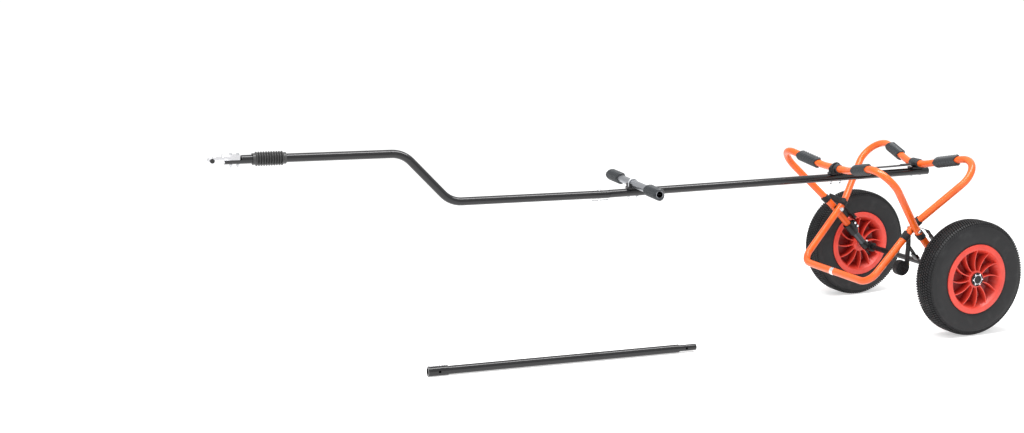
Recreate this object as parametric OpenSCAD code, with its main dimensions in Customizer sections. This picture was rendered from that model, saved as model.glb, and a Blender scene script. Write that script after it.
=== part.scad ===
// Two-wheeled kayak trailer for a bicycle, with a folding cross-shaped cradle, a pinned
// two-piece drawbar, a front support bar, a flexible hitch and a loose extension tube.
// Sizes are in millimetres. The hitch points to -X, the wheels stand on Z = 0, +Y is the
// trailer's right side. The origin lies on the floor, half way along the whole trailer.

/* [Wheels] */
// Outer diameter of the pneumatic tyre
tyre_d = 400; // [340:5:420]
// Width of the tyre at its widest
tyre_w = 88; // [80:1:100]
// Distance between the middle planes of the two tyres
track = 670; // [650:5:760]
// Outer diameter of the plastic rim's flange ring
rim_d = 242; // [234:1:250]
// Inner diameter of the flange ring, where the dish starts
dish_d = 204; // [196:1:208]
// Diameter of the bead seat under the tyre
bead_seat_d = 213; // [211:1:216]
// Diameter of the well in the middle of the rim
well_d = 172; // [164:1:176]
// Outer diameter of the hub boss
hub_d = 59; // [50:1:64]
// Length of the hub boss
hub_w = 76; // [64:1:84]
// Number of curved blades on each side of the wheel disc
blades = 12; // [8:1:16]
// Thickness of one blade
blade_t = 3.2; // [2.4:0.2:4]
// Diameter of the axle
axle_d = 20; // [18:0.5:22]
// Outer diameter of the hub bushes
bush_d = 26; // [25:0.5:28]
// Diameter of the caps on the ends of the axle
hub_cap_d = 47; // [40:1:50]

/* [Cradle] */
// Diameter of the bent cradle tubes
cradle_d = 25; // [23:0.5:26]
// Wall of the cradle tubes
cradle_wall = 2; // [1.5:0.25:2.5]
// Lean of each cradle loop from upright, in degrees
cradle_lean = 41.6; // [41:0.2:44]
// Distance along the front leg from the axle up to the crossing bolt
leg_len = 224; // [215:1:240]
// Distance of the front legs in front of the middle of the axle, square to their length
leg_ahead = 13.2; // [8:0.2:14]
// Distance along each loop from the crossing bolt up to its top bar
top_rise = 258.2; // [250:0.2:280]
// Distance along the rear loop from the crossing bolt down to its crossbar
crossbar_drop = 242; // [235:1:255]
// Half of the width between the front loop's tubes at the crossing bolts
front_half_w = 246; // [242:1:262]
// Upward slope of the front top bar towards its ears, in degrees
front_slope = 14; // [12:0.2:16]
// Upward slope of the rear top bar towards its ears, in degrees
rear_slope = 16.8; // [14:0.2:18]
// Outward flare of the front loop's sides above the knees, in degrees
front_flare = 19.4; // [18:0.2:22]
// Outward flare of the rear loop's sides above the knees, in degrees
rear_flare = 23.4; // [21:0.2:25]
// Inward taper of the legs below the knees, in degrees
leg_taper = 3; // [2:0.2:5]
// Length of the level middle of the front top bar
front_flat = 150; // [130:2:152]
// Length of the level middle of the rear top bar
rear_flat = 90; // [84:2:110]
// Height of the front loop's knees above the crossing bolt
front_knee = 14; // [10:1:24]
// Height of the rear loop's knees above the crossing bolt
rear_knee = 31; // [24:1:36]
// Bend radius of the ears
ear_bend = 72; // [60:1:76]
// Bend radius of the crossbar's corners
corner_bend = 50; // [40:1:60]
// Bend radius of the gentle bends at the knees and the top bar
soft_bend = 100; // [70:5:110]
// Distance down the front leg, from the crossing bolt, at which the orange tube ends
leg_cut = 100; // [90:1:110]
// Diameter of the crossing bolts
pivot_bolt_d = 8; // [6:0.5:9]
// Thickness of the nylon washers between the loops at the crossing bolts
pivot_washer = 3.6; // [3:0.2:5]
// Length of a cradle pad
pad_len = 96; // [88:2:98]
// Diameter over the ribs of a cradle pad
pad_d = 40; // [36:1:42]
// Distance along the top bar from its middle to the middle of a pad
pad_off = 151; // [148:1:156]
// The same distance for the left pad of the front loop, which sits further out
left_pad_off = 178; // [160:1:180]

/* [Drawbar] */
// Diameter of the drawbar tubes
bar_d = 27; // [25:0.5:28]
// Wall of the drawbar tubes
bar_wall = 2; // [1.5:0.25:2.5]
// Length of the rear drawbar tube
rear_bar_len = 1281; // [1250:1:1350]
// Length of the drawbar behind the rear saddle
bar_tail = 48; // [40:1:60]
// Length of the spigot that joins two drawbar tubes
spigot_len = 62; // [56:1:66]
// Diameter of that spigot
spigot_d = 21.6; // [20:0.2:21.8]
// Distance of the lock pin from the butt joint
pin_off = 36; // [30:1:40]
// Diameter of the lock pin
pin_d = 8; // [6:0.5:9]
// Upward droop of the front tube in its loose joint, in degrees
joint_tilt = 1.2; // [0:0.1:1.2]
// Length of the lower run, from the lock pin to the lower corner
lower_run = 521; // [500:1:560]
// Height that the gooseneck rises
rise = 160; // [140:1:190]
// Length of the upper run, from the upper corner to the end of the tube
upper_run = 376; // [350:1:400]
// Bend radius of the gooseneck
neck_bend = 90; // [70:5:110]
// Thickness of the rubber liner between a cradle tube and its saddle
liner_t = 3.3; // [2.8:0.1:4]
// Thickness of a saddle between the tube in it and the drawbar
saddle_floor = 3; // [2:0.5:5]
// Distance from the rear saddle forward to the support bar
support_off = 1144; // [1130:1:1165]
// Length of the support bar
support_len = 436; // [400:4:520]
// Turn of the support bar from square, in degrees
support_turn = -6; // [-8:0.5:0]
// Distance of the support bar's middle to the left of the drawbar
support_shift = 16; // [0:1:20]
// Length of each grip sleeve on the support bar
grip_len = 96; // [80:2:110]

/* [Hitch] */
// Length of the ribbed bellows
bellows_len = 102; // [92:2:110]
// Diameter over the bellows' ribs
bellows_d = 44; // [42:1:48]
// Number of ribs on the bellows
bellows_ribs = 11; // [8:1:12]
// Length of the full tube in front of the bellows
stub_len = 33; // [28:1:40]
// Length of the half-round seat that is cut into the stub
seat_len = 51; // [50:1:60]
// Diameter of the universal joint's cross pins
cross_pin_d = 6; // [5:0.5:7]
// Diameter of the hitch pin
hitch_pin_d = 8; // [6:0.5:10]
// Distance from the end of the seat to the hitch pin
tongue_len = 38; // [34:1:50]
// Height of the bracket above the half-round seat
bracket_h = 16; // [14:1:20]
// Width of the gap in the hitch fork
fork_gap = 11; // [8:0.5:12]

/* [Loose tube] */
// Length of the loose extension tube without its spigot
ext_len = 858; // [700:2:900]
// Outer diameter of the collar round its socket
collar_d = 31; // [30:0.5:33]
// Distance of the collar's open end in front of the axle
ext_ahead = 1897; // [1780:1:1910]
// Distance of the collar's open end to the left of the middle
ext_left = 104; // [100:1:110]
// Turn of the loose tube on the floor, in degrees
ext_turn = -4.3; // [-6:0.1:0]

/* [Lashing straps] */
// Width of the webbing
web_w = 25; // [20:1:25]
// Thickness of the webbing
web_t = 2; // [1.5:0.1:2.2]
// Number of turns in the rolled strap end
roll_turns = 7; // [5:1:8]
// Length of the hanging strap end, down to the roll
hang_len = 104; // [90:1:108]

/* [Hidden] */
$fn = 48;

// Clearances
fit = 0.05;          // running fit round a shaft, on the radius
free = 0.3;          // gap between pieces that don't touch
press_gap = 0.02;    // gap of a piece pushed home by hand, on the radius

// Wheel
tyre_r = tyre_d / 2;
axle_z = tyre_r;
half_track = track / 2;
rim_face = tyre_w / 2 - 1;         // half of the rim's width over its flanges
flange_t = 5;                      // thickness of the flange ring
wall_t = 4;                        // wall of the rim between its flanges
disc_t = 6;                        // thickness of the wheel's middle disc
bead_w = 11;                       // width of one tyre bead
tyre_wall = 5.5;                   // thickness of the tyre's side wall
tread_t = 8.5;                     // thickness of the tyre under its tread
groove_w = 4;                      // width of a groove round the tread
groove_depth = 3.5;                // depth of a groove round the tread
groove_pitch = 13;                 // distance between the grooves
bead_r = bead_seat_d / 2;
flange_in = rim_face - flange_t;
bead_in = flange_in - bead_w;
hub_inner = half_track - hub_w / 2;   // |Y| of the hub's inner face
hub_outer = half_track + hub_w / 2;
washer_t = 2.5;
hub_cap_t = 8;
axle_half = hub_outer + washer_t + 2 * free + 6;

// Cradle, worked out from the crossing bolt
pivot_x = -leg_len * sin(cradle_lean) - leg_ahead * cos(cradle_lean);
pivot_z = axle_z + leg_len * cos(cradle_lean) - leg_ahead * sin(cradle_lean);
washer_d = 20;
washer_play = washer_d / 2 * tan(leg_taper) + free;   // room for the tapering legs
front_at = leg_u(front_half_w, front_knee, 0);
rear_at = front_at - cradle_d - pivot_washer - 2 * washer_play;
rear_half_w = rear_at + rear_knee * tan(leg_taper);
// Shape of a loop above its knees: half of the level middle, slope and flare
front_shape = [front_flat / 2, front_slope, front_flare];
rear_shape = [rear_flat / 2, rear_slope, rear_flare];
// Outer corner of an ear, before it is rounded, in the plane of a loop
function ear_corner(half_w, knee, shape) =
    let(a = tan(shape[1]), b = tan(shape[2]),
        u = (half_w + b * (top_rise - a * shape[0] - knee)) / (1 - a * b))
    [u, top_rise + a * (u - shape[0])];
// Half width of the leg at height v on the loop, below the knee
function leg_u(half_w, knee, v) = half_w - (knee - v) * tan(leg_taper);

// Saddles and drawbar
liner_r = cradle_d / 2 + liner_t;
bar_r = bar_d / 2;
saddle_drop = liner_r + saddle_floor + bar_r + free;
saddle_z = pivot_z + top_rise * cos(cradle_lean);
rear_saddle_x = pivot_x + top_rise * sin(cradle_lean);
front_saddle_x = pivot_x - top_rise * sin(cradle_lean);
bar_z = saddle_z - saddle_drop;
bar_end_x = rear_saddle_x + bar_tail;
butt_x = bar_end_x - rear_bar_len;
lock_x = butt_x - pin_off;
support_x = rear_saddle_x - support_off;
support_z = bar_z + bar_r + free + saddle_floor + cradle_d / 2;
bolt_d = 5;                        // wire of the U-bolts and the saddle screws
shoe_w = 30;                       // width of a saddle across the drawbar
ear_drop = 2;                      // depth of a saddle's ears below its floor
nut_h = 4.5;
nut_d = 9;
tail_len = 5;                      // bolt end below its nut

// Front drawbar and hitch, in the frame of the front tube: the lock pin is at 0, 0
upper_x = -(lower_run + rise);     // the gooseneck climbs at 45 degrees
tube_end_x = upper_x - upper_run;
bellows_x = tube_end_x + 4;        // rear end of the bellows, over the tube's end
joint_c = bellows_x - bellows_len / 2;
stub_x = bellows_x - bellows_len + 12;   // rear end of the stub tube
stub_end_x = bellows_x - bellows_len - stub_len;
seat_end_x = stub_end_x - seat_len;
tongue_x = seat_end_x - tongue_len;
fork_r = 11;                       // radius of the fork's round end
yoke_gap = 8.7;                    // half gap between a yoke's ears
yoke_t = 4.2;                      // thickness of a yoke's ear
yoke_r = 7.5;                      // round end of a yoke's ear
yoke_reach = 17;                   // from the cross to a yoke's base

// The origin is half way between the fork's tip and the backs of the tyres
tip_x = lock_x + (tongue_x - fork_r) * cos(joint_tilt)
        + (rise - fork_r) * sin(joint_tilt);
mid_x = (tip_x + tyre_r) / 2;

strap_r = cradle_d / 2 + 2.4;      // outside of the webbing wound on a cradle tube
orange = [0.93, 0.36, 0.10];
black = [0.07, 0.07, 0.08];
rubber = [0.10, 0.10, 0.11];
red = [0.82, 0.16, 0.12];
zinc = [0.75, 0.77, 0.80];
steel_grey = [0.33, 0.37, 0.42];

// Helpers

// Puts a piece drawn round the axle's middle into the trailer's frame
module trailer() translate([-mid_x, 0, 0]) children();

// Both sides of the trailer, from a piece drawn on the right
module both_sides() {
    children();
    mirror([0, 1, 0]) children();
}

// A cylinder along Y from y0 to y1
module y_rod(d, y0, y1) translate([0, y1, 0]) rotate([90, 0, 0]) cylinder(d = d, h = y1 - y0);

// A tube along Y from y0 to y1
module y_tube(d, bore, y0, y1) translate([0, y1, 0]) rotate([90, 0, 0])
    linear_extrude(y1 - y0) ring(d, bore);

module ring(d, bore) difference() {
    circle(d = d);
    circle(d = bore);
}

// A hexagon nut along Z, standing on Z = 0
module nut(d, h, bore) difference() {
    cylinder(d = d / cos(30), h = h, $fn = 6);
    translate([0, 0, -1]) cylinder(d = bore, h = h + 2);
}

// A rod that follows points in the XY plane, with one bend radius for each inner point. Each
// straight run reaches a little way into its bends with a cone, so the pieces overlap cleanly.
lap = 0.5;
hair = 0.02;
function run_outline(r, l, past, first, last) = concat(
    first ? [[0, -past], [r, -past]] : [[0, -lap], [r - 3 * hair, -lap], [r, 0]],
    last ? [[r, l + past], [0, l + past]] : [[r, l], [r - 3 * hair, l + lap], [0, l + lap]]);
module bent_rod(path, bends, d, past) {
    n = len(path);
    head = [for (i = [0:n - 2]) atan2(path[i + 1].y - path[i].y, path[i + 1].x - path[i].x)];
    turn = [for (i = [1:n - 2]) let(t = head[i] - head[i - 1])
        t > 180 ? t - 360 : t < -180 ? t + 360 : t];
    cut = concat([0], [for (i = [1:n - 2]) bends[i - 1] * tan(abs(turn[i - 1]) / 2)], [0]);
    for (i = [0:n - 2])
        translate([path[i].x, path[i].y, 0]) rotate([0, 0, head[i]]) rotate([0, 90, 0])
            translate([0, 0, cut[i]]) rotate_extrude() polygon(run_outline(d / 2,
                norm(path[i + 1] - path[i]) - cut[i] - cut[i + 1], past, i == 0, i == n - 2));
    for (i = [1:n - 2]) {
        r = bends[i - 1];
        side = sign(turn[i - 1]);
        start = path[i] - cut[i] * [cos(head[i - 1]), sin(head[i - 1])];
        centre = start + side * r * [-sin(head[i - 1]), cos(head[i - 1])];
        first = side > 0 ? head[i - 1] - 90 : head[i] + 90;
        translate([centre.x, centre.y, 0]) rotate([0, 0, first])
            rotate_extrude(angle = abs(turn[i - 1])) translate([r, 0]) circle(d = d - 2 * hair);
    }
}

// A tube along the same kind of route
module bent_tube(path, bends, d, bore) difference() {
    bent_rod(path, bends, d, 0);
    bent_rod(path, bends, bore, 1);
}

// Puts a shape drawn in the plane of a loop (x across, y up the loop from the crossing
// bolt) into the trailer's frame
module on_loop(lean) translate([pivot_x, 0, pivot_z]) rotate([0, lean, 0])
    rotate([90, 0, 90]) children();

// A shape drawn along Z, set on a loop at [u, v] and turned a degrees from straight up
module at_loop(u, v, a) translate([u, v, 0]) rotate([0, 0, a]) rotate([-90, 0, 0]) children();

// Half of a loop's route, from its middle at the top down to the given lowest points
function loop_half(half_w, knee, shape, low) = concat(
    [[shape[0], top_rise], ear_corner(half_w, knee, shape), [half_w, knee]], low);
function mirrored(p) = [for (i = [len(p) - 1:-1:0]) [-p[i].x, p[i].y]];

// Wheels

// Outline of the tyre's section at the right of its middle plane, from tread to bead
shoulder = tyre_w / 2;
tyre_side = [[tyre_r, shoulder * 0.50], [tyre_r - 2, shoulder * 0.68],
             [tyre_r - 7, shoulder * 0.83], [tyre_r - 15, shoulder * 0.94],
             [tyre_r - 28, shoulder], [tyre_r - 42, shoulder],
             [tyre_r - 55, shoulder * 0.96], [rim_d / 2 + 3, flange_in + 1.5],
             [rim_d / 2 + free, flange_in - free], [bead_r + free, flange_in - free]];
tyre_inside = [[bead_r + free, bead_in], [rim_d / 2 - 4, bead_in + 3],
               [tyre_r - 55, shoulder * 0.96 - tyre_wall], [tyre_r - 42, shoulder - tyre_wall],
               [tyre_r - 28, shoulder - tyre_wall],
               [tyre_r - tread_t - 9, shoulder * 0.94 - tyre_wall - 2],
               [tyre_r - tread_t - 2, shoulder * 0.68 - 2], [tyre_r - tread_t, shoulder * 0.4]];
function other_side(p) = [for (i = [len(p) - 1:-1:0]) [p[i].x, -p[i].y]];

// A profile of [radius, y] turned round the wheel's axis
module wheel_turn() rotate([-90, 0, 0]) rotate_extrude($fn = 96) children();

module tyre() color(black) difference() {
    wheel_turn() polygon(concat(tyre_side, tyre_inside,
                                other_side(tyre_inside), other_side(tyre_side)));
    for (y = [-1:1]) translate([0, y * groove_pitch, 0])
        y_tube(tyre_d + 2, tyre_d - 2 * groove_depth, -groove_w / 2, groove_w / 2);
}

// Air tube: it fills the tyre with a small gap, and its valve comes out through the well
valve_turn = -38;                  // degrees below straight back
valve_d = 8;
tube_gap = 0.6;
tube_wall = 2;
valve_y = 9;
module inner_tube(side) color(rubber) {
    outer = [for (p = tyre_inside) [p.x + (p.x < tyre_r - 50 ? 2 : -tube_gap), p.y - 1.5 * tube_gap]];
    inner = [for (p = outer) [p.x + (p.x < tyre_r - 50 ? tube_wall : -tube_wall), p.y - tube_wall]];
    difference() {
        union() {
            wheel_turn() polygon(concat(outer, other_side(outer)));
            valve_stem(side, valve_d, well_d / 2 - 24, bead_r + 4);
            valve_stem(side, valve_d + 2, well_d / 2 - 26, well_d / 2 - 14);
        }
        wheel_turn() polygon(concat(inner, other_side(inner)));
    }
}

module valve_stem(side, d, r0, r1) rotate([0, 90 - valve_turn, 0])
    translate([0, side * valve_y, r0]) cylinder(d = d, h = r1 - r0);

// Plastic wheel: flanges, bead seats and well are one turned wall, with a disc and blades
rim_outside = [[rim_d / 2, rim_face - 2], [rim_d / 2, flange_in], [bead_r, flange_in],
               [bead_r, bead_in - 2], [well_d / 2, bead_in - 16]];
rim_inside = [[well_d / 2 - wall_t, 0], [well_d / 2 - wall_t, disc_t / 2],
              [dish_d / 2, rim_face], [rim_d / 2 - 2, rim_face]];
module rim(side) color(red) difference() {
    union() {
        wheel_turn() polygon(concat(rim_outside, other_side(rim_outside),
            [[rim_d / 2 - 2, -rim_face], [dish_d / 2, -rim_face],
             [well_d / 2 - wall_t, -disc_t / 2]],
            [[well_d / 2 - wall_t, disc_t / 2], [dish_d / 2, rim_face],
             [rim_d / 2 - 2, rim_face]]));
        y_tube(well_d - 1, bush_d + 2 * press_gap, -disc_t / 2, disc_t / 2);
        y_tube(hub_d, bush_d + 2 * press_gap, -hub_w / 2, hub_w / 2);
        intersection() {
            rotate([90, 0, 0]) linear_extrude(2 * blade_reach, center = true)
                for (k = [0:blades - 1]) rotate(k * 360 / blades) blade();
            wheel_turn() polygon(blade_space);
        }
    }
    valve_stem(side, valve_d + 2 * free, well_d / 2 - 10, bead_r + 2);
}

// The blades stop 7 mm inside the flange faces, and follow the dished wall outwards
blade_reach = rim_face - 7;
blade_space = [[hub_d / 2 - 1, -blade_reach], [hub_d / 2 - 1, blade_reach],
               [dish_d / 2 - 3, blade_reach], [well_d / 2 - wall_t / 2, 2],
               [well_d / 2 - wall_t / 2, -2], [dish_d / 2 - 3, -blade_reach]];
blade_bow = 88;                    // radius of a blade's curve
module blade() intersection() {
    translate([hub_d / 2 + 30, -blade_bow + 8]) ring(2 * blade_bow + blade_t, 2 * blade_bow - blade_t);
    translate([hub_d / 2 - 2, -40]) square([rim_d / 2 - hub_d / 2, 80]);
}

module hub_bushes() color(zinc) for (m = [0, 1]) mirror([0, m, 0]) {
    y_tube(bush_d, axle_d + 2 * fit, hub_w / 2 - 24, hub_w / 2);
}

module wheel_place(side) translate([0, side * half_track, axle_z]) children();

// Axle and its fittings

module axle() color(black) translate([0, 0, axle_z]) y_rod(axle_d, -axle_half, axle_half);

bracket_w = 40;                    // length of a bracket along the axle
bracket_d = 34;
bracket_y = leg_u(front_half_w, front_knee, -leg_len);
module axle_spacers() color(zinc) translate([0, 0, axle_z]) both_sides()
    y_tube(26, axle_d + 2 * fit, bracket_y + bracket_w / 2 + free, hub_inner - free);

module hub_washers() color(zinc) translate([0, 0, axle_z]) both_sides()
    y_tube(36, axle_d + 2 * fit, hub_outer + free, hub_outer + free + washer_t);

// Push-on caps that keep the wheels on the axle
module hub_caps() color(black) translate([0, 0, axle_z]) both_sides() {
    y0 = hub_outer + washer_t + 2 * free;
    difference() {
        union() {
            y_rod(hub_cap_d, y0, y0 + 4);
            y_rod(hub_cap_d - 19, y0, y0 + hub_cap_t);
            for (k = [0:5]) rotate([0, k * 60, 0]) translate([hub_cap_d / 2 - 5, 0, 0])
                y_rod(8, y0, y0 + 6.5);
        }
        y_rod(axle_d + 2 * press_gap, y0 - 1, axle_half);
    }
}

// The leg's line below the knee: turned by the taper towards the middle
socket_len = 24;
bracket_bolt_v = -leg_len + bracket_d / 2 + 7;
ext_d = cradle_d - 2 * cradle_wall - 2 * press_gap;   // leg extension inside the cradle tube
module axle_brackets() color(black) both_sides() difference() {
    union() {
        translate([0, bracket_y, axle_z]) y_rod(bracket_d, -bracket_w / 2, bracket_w / 2);
        on_leg(-leg_len + axle_d / 2 + 2) cylinder(d = ext_d + 7, h = socket_len);
    }
    translate([0, 0, axle_z]) y_rod(axle_d + 2 * press_gap, 0, hub_outer);
    on_leg(-leg_len + bracket_d / 2) cylinder(d = ext_d + 2 * press_gap, h = socket_len + 20);
    on_leg(bracket_bolt_v) rotate([0, 90, 0]) cylinder(d = bolt_d + 2 * fit, h = 40);
}

// A frame on the right front leg at height v: Z runs up the leg
module on_leg(v) on_loop(-cradle_lean)
    translate([leg_u(front_half_w, front_knee, v), v, 0]) rotate([0, 0, -leg_taper])
        rotate([-90, 0, 0]) rotate([0, 0, -90]) children();

module bracket_bolts() color(zinc) both_sides()
    on_leg(bracket_bolt_v) rotate([0, 90, 0]) {
        translate([0, 0, ext_d / 2 + free]) cylinder(d = bolt_d, h = 9);
        translate([0, 0, ext_d / 2 + 3.5 + 2 * free + 0.2]) cylinder(d = 9.2, h = 4.6, $fn = 6);
    }

clamp_len = 46;
clamp_over = 12;                   // length of the clamp on the orange tube
clamp_d = cradle_d + 12;

// Grey tubes that carry the orange legs down to the axle. Between the bracket's socket and the
// leg clamp each has a sleeve as thick as the orange tube.
sleeve_low = -leg_len + axle_d / 2 + 2 + socket_len + free;
sleeve_high = -leg_cut - clamp_len + clamp_over - free;
module leg_extensions() color(steel_grey) both_sides() {
    on_leg(-leg_len + bracket_d / 2 + free)
        linear_extrude(leg_len - bracket_d / 2 - 40) ring(ext_d, ext_d - 5);
    on_leg(sleeve_low) linear_extrude(sleeve_high - sleeve_low) ring(cradle_d, ext_d - 1);
}

// Black clamps over the ends of the orange legs
module leg_clamps() color(black) both_sides() on_leg(-leg_cut - clamp_len + clamp_over) difference() {
    union() {
        cylinder(d = clamp_d, h = clamp_len);
        translate([0, -8, 6]) cube([clamp_d / 2 + 9, 16, clamp_len - 12]);
    }
    translate([0, 0, clamp_len - clamp_over - free])
        cylinder(d = cradle_d + 2 * press_gap, h = clamp_len);
    translate([0, 0, -1]) cylinder(d = ext_d + 2 * fit, h = clamp_len);
    translate([0, -1, -1]) cube([clamp_d, 2, clamp_len + 2]);
    for (h = [15, clamp_len - 15]) translate([clamp_d / 2 + 2.5, 0, h])
        y_rod(bolt_d + 2 * fit, -20, 20);
}

module leg_clamp_bolts() color(zinc) both_sides() on_leg(-leg_cut - clamp_len + clamp_over)
    for (h = [15, clamp_len - 15]) translate([clamp_d / 2 + 2.5, 0, h]) {
        y_rod(bolt_d, -8 - free - nut_h - 2, 8 + free);
        y_rod(9, 8 + free, 12);
        translate([0, -8 - free, 0]) rotate([90, 0, 0]) nut(8, nut_h, bolt_d - 0.02);
    }

// Cradle

// Straight front-to-back hole for a crossing bolt, through both sides
module crossing_hole() translate([pivot_x, 0, pivot_z])
    y_rod(pivot_bolt_d + 2 * fit, -front_half_w - 60, front_half_w + 60);

front_route = let(half = loop_half(front_half_w, front_knee, front_shape,
        [[leg_u(front_half_w, front_knee, -leg_cut), -leg_cut]]))
    concat(mirrored(half), half);
module front_cradle_tube() color(orange) difference() {
    on_loop(-cradle_lean) bent_tube(front_route,
        [soft_bend, ear_bend, soft_bend, soft_bend, ear_bend, soft_bend],
        cradle_d, cradle_d - 2 * cradle_wall);
    crossing_hole();
}

rear_route = let(half = loop_half(rear_half_w, rear_knee, rear_shape,
        [[leg_u(rear_half_w, rear_knee, -crossbar_drop), -crossbar_drop], [0, -crossbar_drop]]))
    concat(mirrored(half), half);
module rear_cradle_tube() color(orange) difference() {
    on_loop(cradle_lean) bent_tube(rear_route,
        [corner_bend, soft_bend, ear_bend, soft_bend, soft_bend, ear_bend, soft_bend, corner_bend],
        cradle_d, cradle_d - 2 * cradle_wall);
    crossing_hole();
}

// Sleeve over the joint in the rear loop's crossbar
module crossbar_ferrule() color(zinc) on_loop(cradle_lean) translate([-4, -crossbar_drop, 0])
    rotate([90, 0, 90]) linear_extrude(18) ring(cradle_d + 3, cradle_d + 2 * press_gap);

// Ribbed rubber sleeve along Z, centred on Z = 0
module ribbed_sleeve(l, d, bore, ribs) {
    pitch = l / ribs;
    root_r = d / 2 - 2;
    rotate_extrude() polygon(concat([[bore / 2, -l / 2], [bore / 2, l / 2]],
        [for (i = [ribs - 1:-1:0]) each [[root_r, -l / 2 + (i + 0.9) * pitch],
            [d / 2, -l / 2 + (i + 0.7) * pitch], [d / 2, -l / 2 + (i + 0.3) * pitch],
            [root_r, -l / 2 + (i + 0.1) * pitch]]]));
}

module cradle_pad(lean, shape, side, off) color(rubber) on_loop(lean)
    translate([side * (shape[0] + (off - shape[0]) * cos(shape[1])),
               top_rise + (off - shape[0]) * sin(shape[1]), 0])
        rotate([0, 0, side * shape[1]]) rotate([0, 90, 0])
            ribbed_sleeve(pad_len, pad_d, cradle_d + 2 * fit, 8);

// Rubber liner in a saddle, from y0 to y1
module saddle_liner(x, y0, y1) color(rubber) translate([x, (y0 + y1) / 2, saddle_z])
    rotate([90, 0, 0]) ribbed_sleeve(y1 - y0, 2 * liner_r, cradle_d + 2 * fit, 4);

// Crossing bolts: the head is inside, the nut outside
bolt_in = rear_at - cradle_d / 2 - washer_play;
bolt_out = front_at + cradle_d / 2 + washer_play;
module crossing_bolts() color(zinc) translate([pivot_x, 0, pivot_z]) both_sides() {
    y_rod(pivot_bolt_d, bolt_in, bolt_out + 10);
    y_rod(15, bolt_in - 4.5, bolt_in);
}

module crossing_nuts() color(zinc) translate([pivot_x, 0, pivot_z]) both_sides()
    translate([0, bolt_out + 7, 0]) rotate([90, 0, 0]) nut(13, 7, pivot_bolt_d + 2 * press_gap);

module crossing_washers() color(black) translate([pivot_x, 0, pivot_z]) both_sides()
    y_tube(washer_d, pivot_bolt_d + 2 * fit, rear_at + cradle_d / 2 + washer_play,
           rear_at + cradle_d / 2 + washer_play + pivot_washer);

// Saddles on the drawbar

// A saddle seen from the tube it carries: the tube's axis is at 0, the drawbar's at -drop
module saddle(seat_r, drop, front_horns) difference() {
    leg_x = seat_r + free + bolt_d / 2;
    floor_z = bar_r - drop;
    union() {
        translate([-leg_x - 6, -shoe_w / 2, floor_z - ear_drop])
            cube([2 * leg_x + 12, shoe_w, ear_drop + saddle_floor + 2]);
        for (s = front_horns ? [-1, 1] : [1], m = [-1, 1])
            translate([s * (seat_r / 2 + 5) - 7, m * (shoe_w / 2 - 3) - 3, floor_z])
                cube([14, 6, seat_r + saddle_floor + 1]);
    }
    y_rod(2 * (seat_r + free), -shoe_w, shoe_w);
    translate([0, 0, -drop]) rotate([0, 90, 0])
        cylinder(r = bar_r + free, h = 200, center = true);
    for (s = [-1, 1]) translate([s * leg_x, 0, -drop]) cylinder(d = bolt_d + 2 * fit, h = drop);
}

// A U-bolt over the tube, with legs down through the drawbar
module u_bolt(seat_r, drop) {
    leg_x = seat_r + free + bolt_d / 2;
    rotate([90, 0, 0]) rotate_extrude(angle = 180) translate([leg_x, 0]) circle(d = bolt_d);
    low = drop + bar_r + nut_h + tail_len;
    for (s = [-1, 1]) translate([s * leg_x, 0, -low]) cylinder(d = bolt_d, h = low);
}

module saddle_nuts_at(seat_r, drop) for (s = [-1, 1])
    translate([s * (seat_r + free + bolt_d / 2), 0, -drop - bar_r - free - nut_h])
        nut(nut_d, nut_h, bolt_d + 2 * press_gap);

// Holes in the drawbar for the legs of one saddle
module saddle_holes(x, seat_r) for (s = [-1, 1])
    translate([x + s * (seat_r + free + bolt_d / 2), 0, bar_z - bar_d])
        cylinder(d = bolt_d + 2 * fit, h = 2 * bar_d);

module front_saddle() color(black) translate([front_saddle_x, 0, saddle_z])
    saddle(liner_r, saddle_drop, true);

module rear_saddle() color(black) translate([rear_saddle_x, 0, saddle_z])
    saddle(liner_r, saddle_drop, false);

module front_u_bolt() color(zinc) translate([front_saddle_x, 0, saddle_z])
    u_bolt(liner_r, saddle_drop);

// Flat-headed screws hold the open rear saddle, so that the rear loop can lift out of it
module rear_saddle_screws() color(zinc) translate([rear_saddle_x, 0, saddle_z]) {
    top = bar_r - saddle_drop + saddle_floor + 2;
    low = saddle_drop + bar_r + nut_h + tail_len;
    for (s = [-1, 1]) translate([s * (liner_r + free + bolt_d / 2), 0, 0]) {
        translate([0, 0, -low]) cylinder(d = bolt_d, h = low + top);
        translate([0, 0, top]) cylinder(d = 8.4, h = 1.6);
    }
}

module u_bolt_nuts() color(zinc) {
    translate([front_saddle_x, 0, saddle_z]) saddle_nuts_at(liner_r, saddle_drop);
    translate([rear_saddle_x, 0, saddle_z]) saddle_nuts_at(liner_r, saddle_drop);
    translate([support_x, 0, support_z]) rotate([0, 0, support_turn])
        saddle_nuts_at(cradle_d / 2, support_z - bar_z);
}

// Drawbar

module bar_bore() translate([butt_x - 1, 0, bar_z]) rotate([0, 90, 0])
    cylinder(d = bar_d - 2 * bar_wall, h = rear_bar_len + 2);

module drawbar_rear() color(black) difference() {
    translate([butt_x, 0, bar_z]) rotate([0, 90, 0]) cylinder(d = bar_d, h = rear_bar_len);
    bar_bore();
    saddle_holes(front_saddle_x, liner_r);
    saddle_holes(rear_saddle_x, liner_r);
    support_holes();
}

module support_holes() translate([support_x, 0, bar_z - bar_d]) rotate([0, 0, support_turn])
    for (s = [-1, 1]) translate([s * (cradle_d / 2 + free + bolt_d / 2), 0, 0])
        cylinder(d = bolt_d + 2 * fit, h = 2 * bar_d);

module drawbar_end_cap() color(black) translate([bar_end_x, 0, bar_z]) rotate([0, 90, 0]) {
    translate([0, 0, -18]) cylinder(d = bar_d - 2 * bar_wall - 2 * press_gap, h = 18);
    cylinder(d = bar_d, h = 2);
    translate([0, 0, 2]) cylinder(d1 = bar_d, d2 = bar_d - 6, h = 2);
}

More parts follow.
